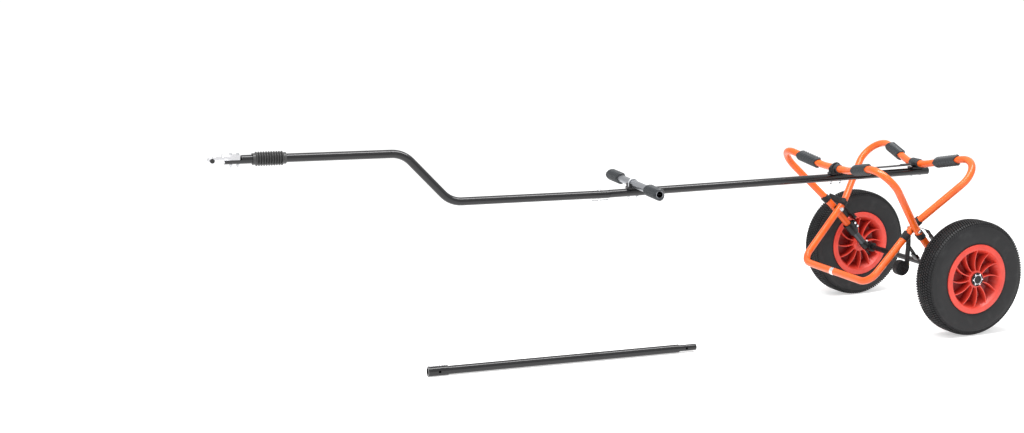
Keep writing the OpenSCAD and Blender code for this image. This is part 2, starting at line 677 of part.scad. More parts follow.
// Steel spigot in the rear tube's front end, over which the front tube slides
module drawbar_spigot() color(steel_grey) difference() {
    union() {
        translate([butt_x + 2, 0, bar_z]) rotate([0, 90, 0])
            cylinder(d = bar_d - 2 * bar_wall - 2 * press_gap, h = spigot_len);
        translate([butt_x - spigot_len, 0, bar_z]) rotate([0, 90, 0])
            cylinder(d = spigot_d, h = spigot_len + 3);
    }
    translate([butt_x - spigot_len - 1, 0, bar_z]) rotate([0, 90, 0])
        cylinder(d = spigot_d - 6, h = 2 * spigot_len + 10);
    translate([lock_x, 0, bar_z]) cylinder(d = pin_d + 1, h = bar_d, center = true);
}

// The front tube's frame: X runs along its lower run from the lock pin
module front_tube_frame() translate([lock_x, 0, bar_z]) rotate([0, joint_tilt, 0]) children();

module drawbar_front() color(black) difference() {
    front_tube_frame() rotate([90, 0, 0])
        bent_tube([[pin_off - 2 * free, 0], [-lower_run, 0], [upper_x, rise], [tube_end_x, rise]],
                  [neck_bend, neck_bend], bar_d, bar_d - 2 * bar_wall);
    front_tube_frame() cylinder(d = pin_d + 2 * fit, h = 2 * bar_d, center = true);
}

module lock_pin() color(zinc) front_tube_frame() difference() {
    union() {
        translate([0, 0, -bar_r - 12]) cylinder(d = pin_d, h = bar_d + 12 + free);
        translate([0, 0, bar_r + free]) cylinder(d = 13, h = 3);
    }
    translate([0, 0, clip_z]) rotate([0, 90, 0]) cylinder(d = clip_d + 2 * fit, h = 30, center = true);
}

// Spring clip bent from wire: a straight leg through the pin, and a second leg beside it
clip_d = 2.6;
clip_z = -bar_r - 6.5;
module spring_clip(pin_half) {
    back = 12;
    gap = pin_half + clip_d / 2 + 0.6;
    rotate([0, 90, 0]) translate([0, 0, -26]) cylinder(d = clip_d, h = 26 + 34);
    translate([34, gap / 2, 0]) rotate([0, 0, -90])
        rotate_extrude(angle = 180) translate([gap / 2, 0]) circle(d = clip_d);
    translate([34, gap, 0]) rotate([0, -90, 0]) cylinder(d = clip_d, h = 34 + back);
    translate([-back, gap + 8, 0]) rotate([0, 0, 180])
        rotate_extrude(angle = 90) translate([8, 0]) circle(d = clip_d);
}

module lock_pin_clip() color(zinc) front_tube_frame() translate([0, 0, clip_z])
    spring_clip(pin_d / 2);

// Support bar across the drawbar, with two ribbed grips

module support_frame() translate([support_x, 0, support_z]) rotate([0, 0, support_turn])
    children();

module support_bar() color(steel_grey) support_frame()
    y_tube(cradle_d, cradle_d - 2 * cradle_wall, -support_len / 2 - support_shift,
           support_len / 2 - support_shift);

module support_saddle() color(black) difference() {
    intersection() {
        support_frame() saddle(cradle_d / 2, support_z - bar_z, true);
        translate([support_x, 0, support_z]) cube([60, 60, 60], center = true);
    }
    translate([support_x, 0, bar_z]) rotate([0, 90, 0])
        cylinder(r = bar_r + free, h = 200, center = true);
}

module support_u_bolt() color(zinc) support_frame() u_bolt(cradle_d / 2, support_z - bar_z);

module support_grip(side) color(rubber) support_frame()
    translate([0, side * (support_len - grip_len + 6) / 2 - support_shift, 0]) rotate([90, 0, 0])
        ribbed_sleeve(grip_len, pad_d, cradle_d + 2 * fit, 8);

// Hitch: a universal joint inside a rubber bellows, then a bracket with a fork

module hitch_frame() front_tube_frame() translate([joint_c, 0, rise]) children();

// Two ears with a pin hole along Z, and a base disc at x = side * reach
module yoke_ears(side) difference() {
    union() {
        for (m = [-1, 1]) hull() {
            translate([0, 0, m * (yoke_gap + yoke_t / 2)]) cylinder(r = yoke_r, h = yoke_t, center = true);
            translate([side * yoke_reach, 0, m * (yoke_gap + yoke_t / 2)])
                cube([2, 2 * yoke_r, yoke_t], center = true);
        }
        translate([side * (yoke_reach + 2), 0, 0]) rotate([0, 90, 0])
            cylinder(r = bar_r, h = 4, center = true);
    }
    cylinder(d = cross_pin_d + 2 * fit, h = 60, center = true);
}

module coupling_rear_yoke() color(zinc) hitch_frame() {
    yoke_ears(1);
    translate([yoke_reach + 3, 0, 0]) rotate([0, 90, 0])
        cylinder(d = bar_d - 2 * bar_wall - 2 * press_gap, h = tube_end_x - joint_c - yoke_reach + 22);
}

module coupling_cross() color(steel_grey) hitch_frame() {
    cube(2 * (yoke_gap - free), center = true);
    cylinder(d = cross_pin_d, h = 2 * (yoke_gap + yoke_t), center = true);
    y_rod(cross_pin_d, -yoke_gap - yoke_t, yoke_gap + yoke_t);
}

// Front yoke, full tube and half-round seat are one piece
stub_back = -yoke_reach - 4;       // the stub tube's rear face, from the cross
module hitch_stub() color(black) hitch_frame() {
    rotate([90, 0, 0]) yoke_ears(-1);
    front = seat_end_x - joint_c;
    difference() {
        translate([front, 0, 0]) rotate([0, 90, 0]) cylinder(d = bar_d, h = stub_back - front);
        translate([front - 1, 0, 0]) rotate([0, 90, 0])
            cylinder(d = bar_d - 2 * bar_wall, h = stub_back - front - 5);
        translate([front - 1, -bar_d, 0]) cube([seat_len + 1, 2 * bar_d, bar_d]);
        for (x = hitch_bolt_x) translate([x - joint_c, 0, -bar_d])
            cylinder(d = bolt_d + 2 * fit, h = bar_d);
    }
}

// Rubber bellows with sharp ribs and plain collars
collar_w = 8;
bellows_wall = 2.2;
module hitch_bellows() color(rubber) front_tube_frame() translate([bellows_x, 0, rise])
    rotate([0, -90, 0]) rotate_extrude() {
        pitch = (bellows_len - 2 * collar_w) / bellows_ribs;
        root = bellows_d / 2 - 4;
        outer = [for (i = [0:bellows_ribs - 1]) each
            [[root, collar_w + (i + 0.12) * pitch], [bellows_d / 2, collar_w + (i + 0.38) * pitch],
             [bellows_d / 2, collar_w + (i + 0.62) * pitch], [root, collar_w + (i + 0.88) * pitch]]];
        inner = [for (p = outer) [p.x - bellows_wall, p.y]];
        hole = bar_r + press_gap;
        polygon(concat([[hole, 0], [root, 0]], outer,
            [[root, bellows_len], [hole, bellows_len], [hole, bellows_len - collar_w]],
            [for (i = [len(inner) - 1:-1:0]) inner[i]], [[hole, collar_w]]));
    }

hitch_bolt_x = [seat_end_x + 20, seat_end_x + 41];
bracket_w2 = 18;                   // width of the bracket's block
block_len = 46;
module hitch_bracket() color(zinc) front_tube_frame() translate([0, 0, rise]) difference() {
    union() {
        translate([seat_end_x, -bracket_w2 / 2, -1]) cube([block_len, bracket_w2, bracket_h + 1 + free]);
        intersection() {
            translate([seat_end_x, 0, 0]) rotate([0, 90, 0])
                cylinder(d = bar_d - 2 * bar_wall - 2 * press_gap, h = block_len);
            translate([seat_end_x - 1, -bar_d, -bar_d]) cube([block_len + 2, 2 * bar_d, bar_d]);
        }
        translate([tongue_x + 4, -fork_r, -fork_r / 2])
            cube([tongue_len - 4 - free, 2 * fork_r, fork_r + 4]);
        translate([seat_end_x - 6, -bracket_w2 / 2, free]) cube([8, bracket_w2, bracket_h]);
        translate([tongue_x, 0, 0]) y_rod(2 * fork_r, -fork_r, fork_r);
    }
    translate([tongue_x, 0, 0]) y_rod(hitch_pin_d + 2 * fit, -fork_r - 1, fork_r + 1);
    translate([tongue_x - fork_r - 1, -fork_gap / 2, -fork_r - 1])
        cube([2 * fork_r + 3, fork_gap, 2 * fork_r + 2]);
    for (x = hitch_bolt_x) translate([x, 0, -bar_d])
        cylinder(d = bolt_d + 2 * fit, h = bracket_h + 2 * bar_d);
}

module hitch_bolts() color(zinc) front_tube_frame() translate([0, 0, rise])
    for (x = hitch_bolt_x) translate([x, 0, 0]) {
        translate([0, 0, -bar_r - nut_h - tail_len])
            cylinder(d = bolt_d, h = bar_r + nut_h + tail_len + bracket_h + 2 * free);
        translate([0, 0, bracket_h + 2 * free]) cylinder(d = 8.5, h = 3.5);
        translate([0, 0, -bar_r - free - nut_h]) nut(8, nut_h, bolt_d - 0.02);
    }

// Hitch pin: pulled out to the left, with a round head and a grooved end
module hitch_pin() color(black) front_tube_frame() translate([tongue_x, 0, rise]) {
    y_rod(hitch_pin_d, -fork_r - free, fork_r + 5);
    y_rod(14, -fork_r - free - 6, -fork_r - free);
}

// Straps

// Webbing between the two top bars, which sets how far the cradle opens. An eyelet holds its
// front end on the U-bolt; its rear end stops short of the rear loop, which swings past it.
strap_drop = 6.3;                  // height of the webbing below the middle of the tubes
module spread_strap() color(black) translate([0, 0, saddle_z - strap_drop]) difference() {
    x0 = liner_r + free + bolt_d / 2;
    swept = sqrt(pow(top_rise - liner_r - free, 2)
                 - pow(top_rise * cos(cradle_lean) - strap_drop + web_t / 2, 2));
    union() {
        translate([front_saddle_x + x0, -7, -web_t / 2]) cube([30, 14, web_t]);
        translate([front_saddle_x + x0 + 4, -web_w / 2, -web_t / 2])
            cube([pivot_x + swept - front_saddle_x - x0 - 4, web_w, web_t]);
    }
    translate([front_saddle_x + x0, 0, -5]) cylinder(d = bolt_d + 2 * fit, h = 10);
}

// A few turns of webbing wound on a cradle tube near its knee, drawn on the right side
module strap_wrap(lean, half_w, knee, flare, v0, v1) on_loop(lean) {
    line = [[leg_u(half_w, knee, -90), -90], [half_w, knee], [half_w + 100 * tan(flare), knee + 100]];
    intersection() {
        difference() {
            bent_rod(line, [soft_bend], 2 * strap_r, 0);
            bent_rod(line, [soft_bend], cradle_d + 2 * fit + 2 * hair, 1);
        }
        translate([half_w - 60, v0, -30]) cube([140, v1 - v0, 60]);
    }
}

module front_wrap(v0, v1) strap_wrap(-cradle_lean, front_half_w, front_knee, front_flare, v0, v1);
module rear_wrap(v0, v1) strap_wrap(cradle_lean, rear_half_w, rear_knee, rear_flare, v0, v1);

module strap_wraps_front() color(black) {
    front_wrap(34, 56);
    mirror([0, 1, 0]) front_wrap(-36, -14);
}

module strap_wraps_rear() color(black) {
    rear_wrap(17, 40);
    mirror([0, 1, 0]) {
        rear_wrap(14, 38);
        rear_wrap(-48, -20);
    }
}

// Webbing that runs down beside each front leg, a little way off it, to a buckle that sits
// on the leg clamp
tail_gap = 30;                     // distance of the webbing from the leg's middle
tail_top = -18;
buckle_len = 30;
buckle_v = -leg_cut + clamp_over - 6 + free;
module strap_tails() color(black) both_sides() on_leg(buckle_v + buckle_len)
    translate([tail_gap, -web_w / 2, 0])
        cube([web_t, web_w, tail_top - buckle_v - buckle_len]);

module strap_buckles() color(black) both_sides() on_leg(buckle_v)
    translate([tail_gap - 4, -web_w / 2 - 4, 0]) cube([10, web_w + 8, buckle_len - free]);

// Left strap's spare end: it hangs from the wrap below the crossing, inside the leg clamp,
// and ends in a roll. A shorter branch behind it carries a cam buckle.
hang_x = pivot_x - 5;
hang_z = pivot_z - (strap_r + 2 * free + (5 + web_t / 2) * cos(cradle_lean)) / sin(cradle_lean);
hang_y = leg_u(front_half_w, front_knee, -leg_cut - clamp_len + clamp_over)
         - clamp_d / 2 - 3 * free - web_w / 2;
roll_in = 5;
roll_pitch = web_t + 1;
roll_step = 15;
branch_len = 58;
function roll_r(a) = roll_in + roll_pitch * a / 360;
roll_line = [for (a = [0:roll_step:roll_turns * 360]) a];
module strap_hanging_end() color(black) translate([hang_x, -hang_y, hang_z]) {
    translate([-web_t / 2, -web_w / 2, -hang_len]) cube([web_t, web_w, hang_len]);
    last = roll_r(roll_turns * 360) + web_t;
    translate([-last + web_t / 2, 0, -hang_len]) rotate([90, 0, 0])
        linear_extrude(web_w, center = true) polygon(concat(
            [for (a = roll_line) roll_r(a) * [cos(a), sin(a)]],
            [for (i = [len(roll_line) - 1:-1:0]) (roll_r(roll_line[i]) + web_t)
                * [cos(roll_line[i]), sin(roll_line[i])]]));
    translate([0, 0, -28]) rotate([0, -38, 0]) {
        translate([-web_t / 2, -web_w / 2, -branch_len]) cube([web_t, web_w, branch_len]);
        translate([-7, -web_w / 2, -branch_len - 8]) cube([14, web_w, 24]);
    }
}

// Loose extension tube, lying on the floor beside the drawbar

module ext_frame() translate([-ext_ahead, -ext_left, collar_d / 2]) rotate([0, 0, ext_turn])
    children();

module extension_tube() color(black) ext_frame() rotate([0, 90, 0]) difference() {
    union() {
        cylinder(d = collar_d, h = spigot_len + 4);
        cylinder(d = bar_d, h = ext_len);
        cylinder(d = spigot_d, h = ext_len + spigot_len);
    }
    translate([0, 0, -1]) cylinder(d = socket_bore, h = spigot_len + 2);
    translate([0, 0, spigot_len]) cylinder(d = spigot_d - 6, h = ext_len);
    for (h = [pin_off, ext_len + spigot_len - pin_off]) translate([0, 0, h])
        y_rod(pin_d + 2 * fit, -collar_d, collar_d);
}
socket_bore = spigot_d + 0.4;

// The clip of its lock pin hangs from a small rivet on the collar
module extension_clip() color(zinc) ext_frame() {
    translate([spigot_len + 1, 0, collar_d / 2 + free]) {
        cylinder(d = 4, h = 9);
        translate([-40, 0, clip_d / 2 + 1]) spring_clip(pin_d / 2);
    }
}

trailer() wheel_place(-1) tyre();  // tyre_left
trailer() wheel_place(-1) inner_tube(1);  // inner_tube_left
trailer() wheel_place(-1) rim(1);  // rim_left
trailer() wheel_place(-1) hub_bushes();  // hub_bushes_left
trailer() wheel_place(1) tyre();  // tyre_right
trailer() wheel_place(1) inner_tube(-1);  // inner_tube_right
trailer() wheel_place(1) rim(-1);  // rim_right
trailer() wheel_place(1) hub_bushes();  // hub_bushes_right
trailer() axle();
trailer() axle_spacers();
trailer() hub_washers();
trailer() hub_caps();
trailer() axle_brackets();
trailer() bracket_bolts();
trailer() leg_extensions();
trailer() leg_clamps();
trailer() leg_clamp_bolts();
trailer() front_cradle_tube();
trailer() cradle_pad(-cradle_lean, front_shape, -1, left_pad_off);  // front_pad_left
trailer() cradle_pad(-cradle_lean, front_shape, 1, pad_off);  // front_pad_right
trailer() saddle_liner(front_saddle_x, -23, 16);  // front_saddle_liner
trailer() rear_cradle_tube();
trailer() crossbar_ferrule();
trailer() cradle_pad(cradle_lean, rear_shape, -1, pad_off);  // rear_pad_left
trailer() cradle_pad(cradle_lean, rear_shape, 1, pad_off);  // rear_pad_right
trailer() saddle_liner(rear_saddle_x, -25, 22);  // rear_saddle_liner
trailer() crossing_bolts();
trailer() crossing_nuts();
trailer() crossing_washers();
trailer() front_saddle();
trailer() rear_saddle();
trailer() front_u_bolt();
trailer() rear_saddle_screws();
trailer() u_bolt_nuts();
trailer() drawbar_rear();
trailer() drawbar_end_cap();
trailer() drawbar_spigot();
trailer() drawbar_front();
trailer() lock_pin();
trailer() lock_pin_clip();
trailer() support_bar();
trailer() support_saddle();
trailer() support_u_bolt();
trailer() support_grip(-1);  // support_grip_left
trailer() support_grip(1);  // support_grip_right
trailer() coupling_rear_yoke();
trailer() coupling_cross();
trailer() hitch_stub();
trailer() hitch_bellows();
trailer() hitch_bracket();
trailer() hitch_bolts();
trailer() hitch_pin();
trailer() spread_strap();
trailer() strap_wraps_front();
trailer() strap_wraps_rear();
trailer() strap_tails();
trailer() strap_buckles();
trailer() strap_hanging_end();
trailer() extension_tube();
trailer() extension_clip();
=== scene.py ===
"""Studio scene of a two-wheeled kayak trailer that is towed behind a bicycle.

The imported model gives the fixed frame. Tubes, bolts and brackets keep their CAD shapes or a
softened copy of them, and get painted. Tyres, rubber sleeves, bellows, webbing and caps are
modelled here in full and stand for their CAD nodes. Lengths are in metres, in the model's
own frame: the hitch points to -X, the wheels stand on Z = 0 and +Y is the right side.
"""

from __future__ import annotations

import logging
import math
from contextlib import contextmanager
from dataclasses import dataclass
from enum import Enum
from typing import Callable, Iterator, Sequence, Union

import bpy
from mathutils import Matrix, Vector

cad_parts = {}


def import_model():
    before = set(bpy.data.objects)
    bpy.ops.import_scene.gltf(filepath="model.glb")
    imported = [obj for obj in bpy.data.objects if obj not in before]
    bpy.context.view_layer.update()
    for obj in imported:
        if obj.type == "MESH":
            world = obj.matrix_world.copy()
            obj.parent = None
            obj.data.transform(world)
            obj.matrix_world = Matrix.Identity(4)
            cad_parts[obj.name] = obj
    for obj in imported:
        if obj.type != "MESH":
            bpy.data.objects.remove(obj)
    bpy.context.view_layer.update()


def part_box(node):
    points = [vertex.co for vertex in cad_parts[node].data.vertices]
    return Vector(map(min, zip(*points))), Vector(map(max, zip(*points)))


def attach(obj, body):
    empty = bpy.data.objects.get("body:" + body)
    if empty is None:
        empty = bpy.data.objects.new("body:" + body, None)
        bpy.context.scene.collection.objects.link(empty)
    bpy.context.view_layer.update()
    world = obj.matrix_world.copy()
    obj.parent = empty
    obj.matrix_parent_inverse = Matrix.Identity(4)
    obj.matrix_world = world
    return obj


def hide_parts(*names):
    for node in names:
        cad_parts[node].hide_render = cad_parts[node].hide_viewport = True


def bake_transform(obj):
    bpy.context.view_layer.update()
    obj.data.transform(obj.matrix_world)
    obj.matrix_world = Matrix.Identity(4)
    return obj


LOG = logging.getLogger("trailer")
MM = 0.001
FULL_TURN = 2 * math.pi
WELD = 1e-6  # distance below which two vertices are one
Piece = bpy.types.Object
Point = Union[Vector, Sequence[float]]
Colour = tuple[float, float, float]


# ------------------------------------------------------------------ shader workbench


class Wire:
    """One value or vector that runs between shader nodes, with arithmetic."""

    def __init__(self, bench: "Bench", socket: bpy.types.NodeSocket) -> None:
        """Wraps an output socket.

        Args:
            bench: The material's workbench.
            socket: The output that the wire starts from.
        """
        self.bench = bench
        self.socket = socket

    def _apply(self, operation: str, *values: "Wire | float | Point") -> "Wire":
        """Adds one Math or Vector Math node, by what kind of socket this is."""
        vector = self.socket.type == "VECTOR"
        kind = "ShaderNodeVectorMath" if vector else "ShaderNodeMath"
        sockets = {index: value for index, value in enumerate(values)}
        return self.bench.wire(kind, {"operation": operation}, sockets)

    def __add__(self, other: "Wire | float | Point") -> "Wire":
        """Sum."""
        return self._apply("ADD", self, other)

    __radd__ = __add__

    def __sub__(self, other: "Wire | float | Point") -> "Wire":
        """Difference."""
        return self._apply("SUBTRACT", self, other)

    def __rsub__(self, other: "Wire | float | Point") -> "Wire":
        """Difference, with this wire taken away."""
        return self._apply("SUBTRACT", other, self)

    def __mul__(self, other: "Wire | float | Point") -> "Wire":
        """Product."""
        return self._apply("MULTIPLY", self, other)

    __rmul__ = __mul__

    def sine(self) -> "Wire":
        """Sine of a value in radians."""
        return self._apply("SINE", self)

    def size(self) -> "Wire":
        """Absolute of a value."""
        return self._apply("ABSOLUTE", self)

    def length(self) -> "Wire":
        """Length of a vector, as a value."""
        sockets = {0: self}
        settings = {"operation": "LENGTH"}
        return self.bench.wire("ShaderNodeVectorMath", settings, sockets, "Value")

    def axis(self, name: str) -> "Wire":
        """One of a vector's parts, X, Y or Z, as a value."""
        return self.bench.wire("ShaderNodeSeparateXYZ", {}, {0: self}, name)

    def ramp(self, low: float, high: float) -> "Wire":
        """Smooth step from 0 at low to 1 at high."""
        settings = {"interpolation_type": "SMOOTHSTEP"}
        sockets = {"Value": self, "From Min": low, "From Max": high}
        return self.bench.wire("ShaderNodeMapRange", settings, sockets, 0)

    def spread(self, low: float, high: float) -> "Wire":
        """Carries a 0 to 1 value into the range low to high."""
        return self * (high - low) + low


class Bench:
    """Workbench on which one material's node tree is put together."""

    def __init__(self, name: str) -> None:
        """Starts a material that holds one principled shader.

        Args:
            name: The material's name.
        """
        self.material = bpy.data.materials.new(name)
        self.material.use_nodes = True
        self.tree = self.material.node_tree
        self.tree.nodes.clear()
        self.output = self.tree.nodes.new("ShaderNodeOutputMaterial")
        self.shader = self.tree.nodes.new("ShaderNodeBsdfPrincipled")
        self.tree.links.new(self.shader.outputs[0], self.output.inputs[0])

    def node(self, kind: str, settings: dict, sockets: dict) -> bpy.types.Node:
        """Adds one node.

        Args:
            kind: The node's type name.
            settings: Attributes of the node, set first.
            sockets: Values or wires for its inputs, by name or number.

        Returns:
            The new node.
        """
        node = self.tree.nodes.new(kind)
        for key, value in settings.items():
            setattr(node, key, value)
        for key, value in sockets.items():
            self.feed(node.inputs[key], value)
        return node

    def wire(self, kind: str, settings: dict, sockets: dict, output: int | str = 0) -> Wire:
        """Adds one node and gives one of its outputs.

        Args:
            kind: The node's type name.
            settings: Attributes of the node, set first.
            sockets: Values or wires for its inputs, by name or number.
            output: The output that is wanted.

        Returns:
            A wire from that output.
        """
        return Wire(self, self.node(kind, settings, sockets).outputs[output])

    def feed(self, socket: bpy.types.NodeSocket, value: "Wire | float | Point") -> None:
        """Sets an input to a number or colour, or links a wire to it."""
        if isinstance(value, Wire):
            self.tree.links.new(value.socket, socket)
        elif isinstance(value, (int, float)):
            plain = socket.type == "VALUE"
            socket.default_value = value if plain else (value, value, value)
        else:
            parts = tuple(value)
            alpha = (1.0,) if socket.type == "RGBA" and len(parts) == 3 else ()
            socket.default_value = parts + alpha

    def place(self) -> Wire:
        """The point on the piece, in its own frame."""
        return self.wire("ShaderNodeTexCoord", {}, {}, "Object")

    def cloth_place(self) -> Wire:
        """The point on a webbing, along and across it, from its UV map."""
        return self.wire("ShaderNodeTexCoord", {}, {}, "UV")

    def noise(self, scale: float, detail: float = 2.0, where: Wire | None = None) -> Wire:
        """Soft cloudy pattern from 0 to 1.

        Args:
            scale: Clouds per metre.
            detail: Finer layers on top of the first.
            where: The place that it is read at, or None for the piece's own frame.

        Returns:
            The pattern.
        """
        sockets = {"Vector": where or self.place(), "Scale": scale, "Detail": detail}
        return self.wire("ShaderNodeTexNoise", {}, sockets, 0)

    def stored(self, name: str) -> Wire:
        """A value that the mesh keeps at its points, 0 where it keeps none."""
        return self.wire("ShaderNodeAttribute", {"attribute_name": name}, {}, "Fac")

    def cells(self, scale: float) -> Wire:
        """Flat cells of random lightness, from 0 to 1."""
        sockets = {"Vector": self.place(), "Scale": scale}
        colour = self.wire("ShaderNodeTexVoronoi", {}, sockets, "Color")
        return self.wire("ShaderNodeSeparateColor", {}, {0: colour}, 0)

    def mix(self, factor: Wire, low: Colour | Wire, high: Colour | Wire) -> Wire:
        """Blends two colours.

        Args:
            factor: 0 for the first colour, 1 for the second.
            low: The first colour.
            high: The second colour.

        Returns:
            The blended colour.
        """
        sockets = {0: factor, 6: low, 7: high}
        return self.wire("ShaderNodeMix", {"data_type": "RGBA"}, sockets, 2)

    def bump(self, height: Wire, depth: float, strength: float = 1.0) -> Wire:
        """Turns a height from 0 to 1 into a normal.

        Args:
            height: The pattern.
            depth: The height of 1, in metres.
            strength: Share of the bump that shows.

        Returns:
            The bumped normal.
        """
        sockets = {"Height": height, "Distance": depth, "Strength": strength}
        return self.wire("ShaderNodeBump", {}, sockets, "Normal")

    def coat(self, **sockets: "Wire | float | Point") -> None:
        """Feeds the shader's inputs, named with underscores for spaces."""
        for name, value in sockets.items():
            self.feed(self.shader.inputs[name.replace("_", " ")], value)


# ------------------------------------------------------------------ finishes


@dataclass(frozen=True)
class Finish:
    """A surface that pieces are dressed in. Each finish is mixed once and then shared."""

    name: str

    def material(self) -> bpy.types.Material:
        """The finish as a material, mixed at its first use."""
        ready = bpy.data.materials.get(self.name)
        if ready is None:
            bench = Bench(self.name)
            self.mix_on(bench)
            ready = bench.material
        return ready

    def mix_on(self, bench: Bench) -> None:
        """Puts the finish together on a bench."""
        raise NotImplementedError


@dataclass(frozen=True)
class PowderCoat(Finish):
    """Baked powder paint: a bright coat with a faint orange peel and a little dust."""

    colour: Colour = (0.88, 0.135, 0.012)
    shade: Colour = (0.76, 0.100, 0.008)
    gloss: float = 0.32
    peel: float = 0.00012

    def mix_on(self, bench: Bench) -> None:
        """Puts the paint together."""
        cloud = bench.noise(14, 4)
        dust = bench.noise(220, 3).ramp(0.62, 0.80)
        bench.coat(
            Base_Color=bench.mix(cloud.ramp(0.3, 0.75), self.colour, self.shade),
            Roughness=(cloud.spread(-0.04, 0.06) + dust * 0.12 + self.gloss),
            Normal=bench.bump(bench.noise(750, 1), self.peel, 0.6),
            Specular_IOR_Level=0.40,
            Coat_Weight=0.25,
            Coat_Roughness=0.12,
        )


@dataclass(frozen=True)
class GlossBlack(Finish):
    """Black stove enamel on the drawbar tubes, with fine scuffs."""

    colour: Colour = (0.005, 0.005, 0.006)
    scuff: Colour = (0.016, 0.016, 0.018)
    gloss: float = 0.14

    def mix_on(self, bench: Bench) -> None:
        """Puts the enamel together."""
        stretched = bench.place() * (0.12, 1.0, 1.0)
        scuffs = bench.noise(420, 5, stretched).ramp(0.60, 0.74)
        bench.coat(
            Base_Color=bench.mix(scuffs, self.colour, self.scuff),
            Roughness=scuffs * 0.22 + bench.noise(9, 2).spread(0.0, 0.08) + self.gloss,
            Normal=bench.bump(bench.noise(600, 1), 0.00008, 0.5),
            Specular_IOR_Level=0.30,
            Coat_Weight=0.35,
            Coat_Roughness=0.05,
        )


@dataclass(frozen=True)
class TyreRubber(Finish):
    """Tyre rubber with moulding rings round the wheel and a trace of dust."""

    centre: tuple[float, float, float] = (0.0, 0.0, 0.0)
    colour: Colour = (0.010, 0.010, 0.011)
    dust: Colour = (0.028, 0.028, 0.029)

    def mix_on(self, bench: Bench) -> None:
        """Puts the rubber together."""
        radius = ((bench.place() - self.centre) * (1.0, 0.0, 1.0)).length()
        rings = (radius * (FULL_TURN / 0.0042)).sine().spread(0.5, 1.0)
        wall = radius.ramp(0.128, 0.140) * (1 - radius.ramp(0.164, 0.172))
        cloud = bench.noise(26, 5)
        grain = bench.noise(1300, 2)
        bench.coat(
            Base_Color=bench.mix(cloud.ramp(0.46, 0.86), self.colour, self.dust),
            Roughness=cloud.spread(0.50, 0.66),
            Normal=bench.bump(rings * wall * 0.6 + grain * 0.5, 0.00016, 0.7),
            Specular_IOR_Level=0.35,
        )


@dataclass(frozen=True)
class RedPlastic(Finish):
    """Injection-moulded red plastic with flow marks and painted shade in the dish of the disc."""

    colour: Colour = (0.82, 0.066, 0.040)
    shade: Colour = (0.70, 0.046, 0.028)
    # Painted shade: this dark red stands in for the shadow in the rim's dish.
    dish_painted_shade: Colour = (0.24, 0.008, 0.006)
    half_track: float = 0.335

    def mix_on(self, bench: Bench) -> None:
        """Puts the plastic together."""
        flow = bench.noise(22, 3)
        bright = bench.mix(flow.ramp(0.35, 0.8), self.colour, self.shade)
        # Painted shade: the rim turns dark red near the wheel's middle plane, where its dish lies
        # in shadow.
        depth = (bench.place().axis("Y").size() - self.half_track).size()
        bench.coat(
            Base_Color=bench.mix(depth.ramp(0.004, 0.040), self.dish_painted_shade, bright),
            Roughness=flow.spread(0.34, 0.46),
            Normal=bench.bump(bench.noise(1100, 2), 0.00010, 0.5),
            Coat_Weight=0.15,
            Coat_Roughness=0.25,
        )


@dataclass(frozen=True)
class SoftRubber(Finish):
    """Matt moulded rubber of the pads, liners, grips and bellows, with a painted highlight in
    lighter grey on its crests.
    """

    colour: Colour = (0.004, 0.004, 0.005)
    bloom: Colour = (0.012, 0.012, 0.013)
    # The crest colour is a painted highlight: a lighter grey on the rib tops that stands in for
    # the light they catch.
    crest: Colour = (0.105, 0.105, 0.110)
    rough: float = 0.34

    def mix_on(self, bench: Bench) -> None:
        """Puts the rubber together."""
        bloom = bench.noise(60, 5).ramp(0.50, 0.85)
        base = bench.mix(bloom, self.colour, self.bloom)
        # Painted highlight: the stored crest value mixes the rib tops towards the lighter crest
        # colour.
        crest_highlight_mask = bench.stored("crest").ramp(0.80, 1.0)
        bench.coat(
            Base_Color=bench.mix(crest_highlight_mask, base, self.crest),
            Roughness=bloom.spread(0.0, 0.15) + self.rough,
            Normal=bench.bump(bench.noise(1600, 2), 0.00012, 0.6),
            Specular_IOR_Level=0.30,
        )


@dataclass(frozen=True)
class BlackPlastic(Finish):
    """Nylon for brackets, clamps and buckles, with a sparkle grain."""

    colour: Colour = (0.006, 0.006, 0.007)
    worn: Colour = (0.022, 0.022, 0.024)
    rough: float = 0.32

    def mix_on(self, bench: Bench) -> None:
        """Puts the nylon together."""
        worn = bench.noise(180, 4).ramp(0.62, 0.82)
        bench.coat(
            Base_Color=bench.mix(worn, self.colour, self.worn),
            Roughness=worn * 0.2 + self.rough,
            Normal=bench.bump(bench.cells(1500), 0.00010, 0.45),
            Specular_IOR_Level=0.35,
        )


@dataclass(frozen=True)
class PlatedSteel(Finish):
    """Zinc or chrome plate: crystal spangle, light wear, and a satin or bright polish."""

    colour: Colour = (0.66, 0.67, 0.69)
    dull: Colour = (0.48, 0.49, 0.50)
    rough: float = 0.26

    def mix_on(self, bench: Bench) -> None:
        """Puts the plating together."""
        spangle = bench.cells(420)
        worn = bench.noise(90, 4)
        bench.coat(
            Base_Color=bench.mix(spangle * worn, self.colour, self.dull),
            Metallic=1.0,
            Roughness=(worn.spread(-0.06, 0.10) + spangle * 0.04 + self.rough),
            Normal=bench.bump(bench.noise(900, 2), 0.00005, 0.4),
        )


@dataclass(frozen=True)
class GreyAluminium(Finish):
    """Anodised aluminium tube with fine drawing lines along it."""

    colour: Colour = (0.34, 0.35, 0.37)
    line: Colour = (0.24, 0.25, 0.27)
    along: tuple[float, float, float] = (1.0, 0.04, 1.0)

    def mix_on(self, bench: Bench) -> None:
        """Puts the anodising together."""
        drawn = bench.noise(900, 3, bench.place() * self.along)
        bench.coat(
            Base_Color=bench.mix(drawn, self.colour, self.line),
            Metallic=1.0,
            Roughness=drawn.spread(0.26, 0.42),
            Normal=bench.bump(drawn, 0.00005, 0.5),
        )


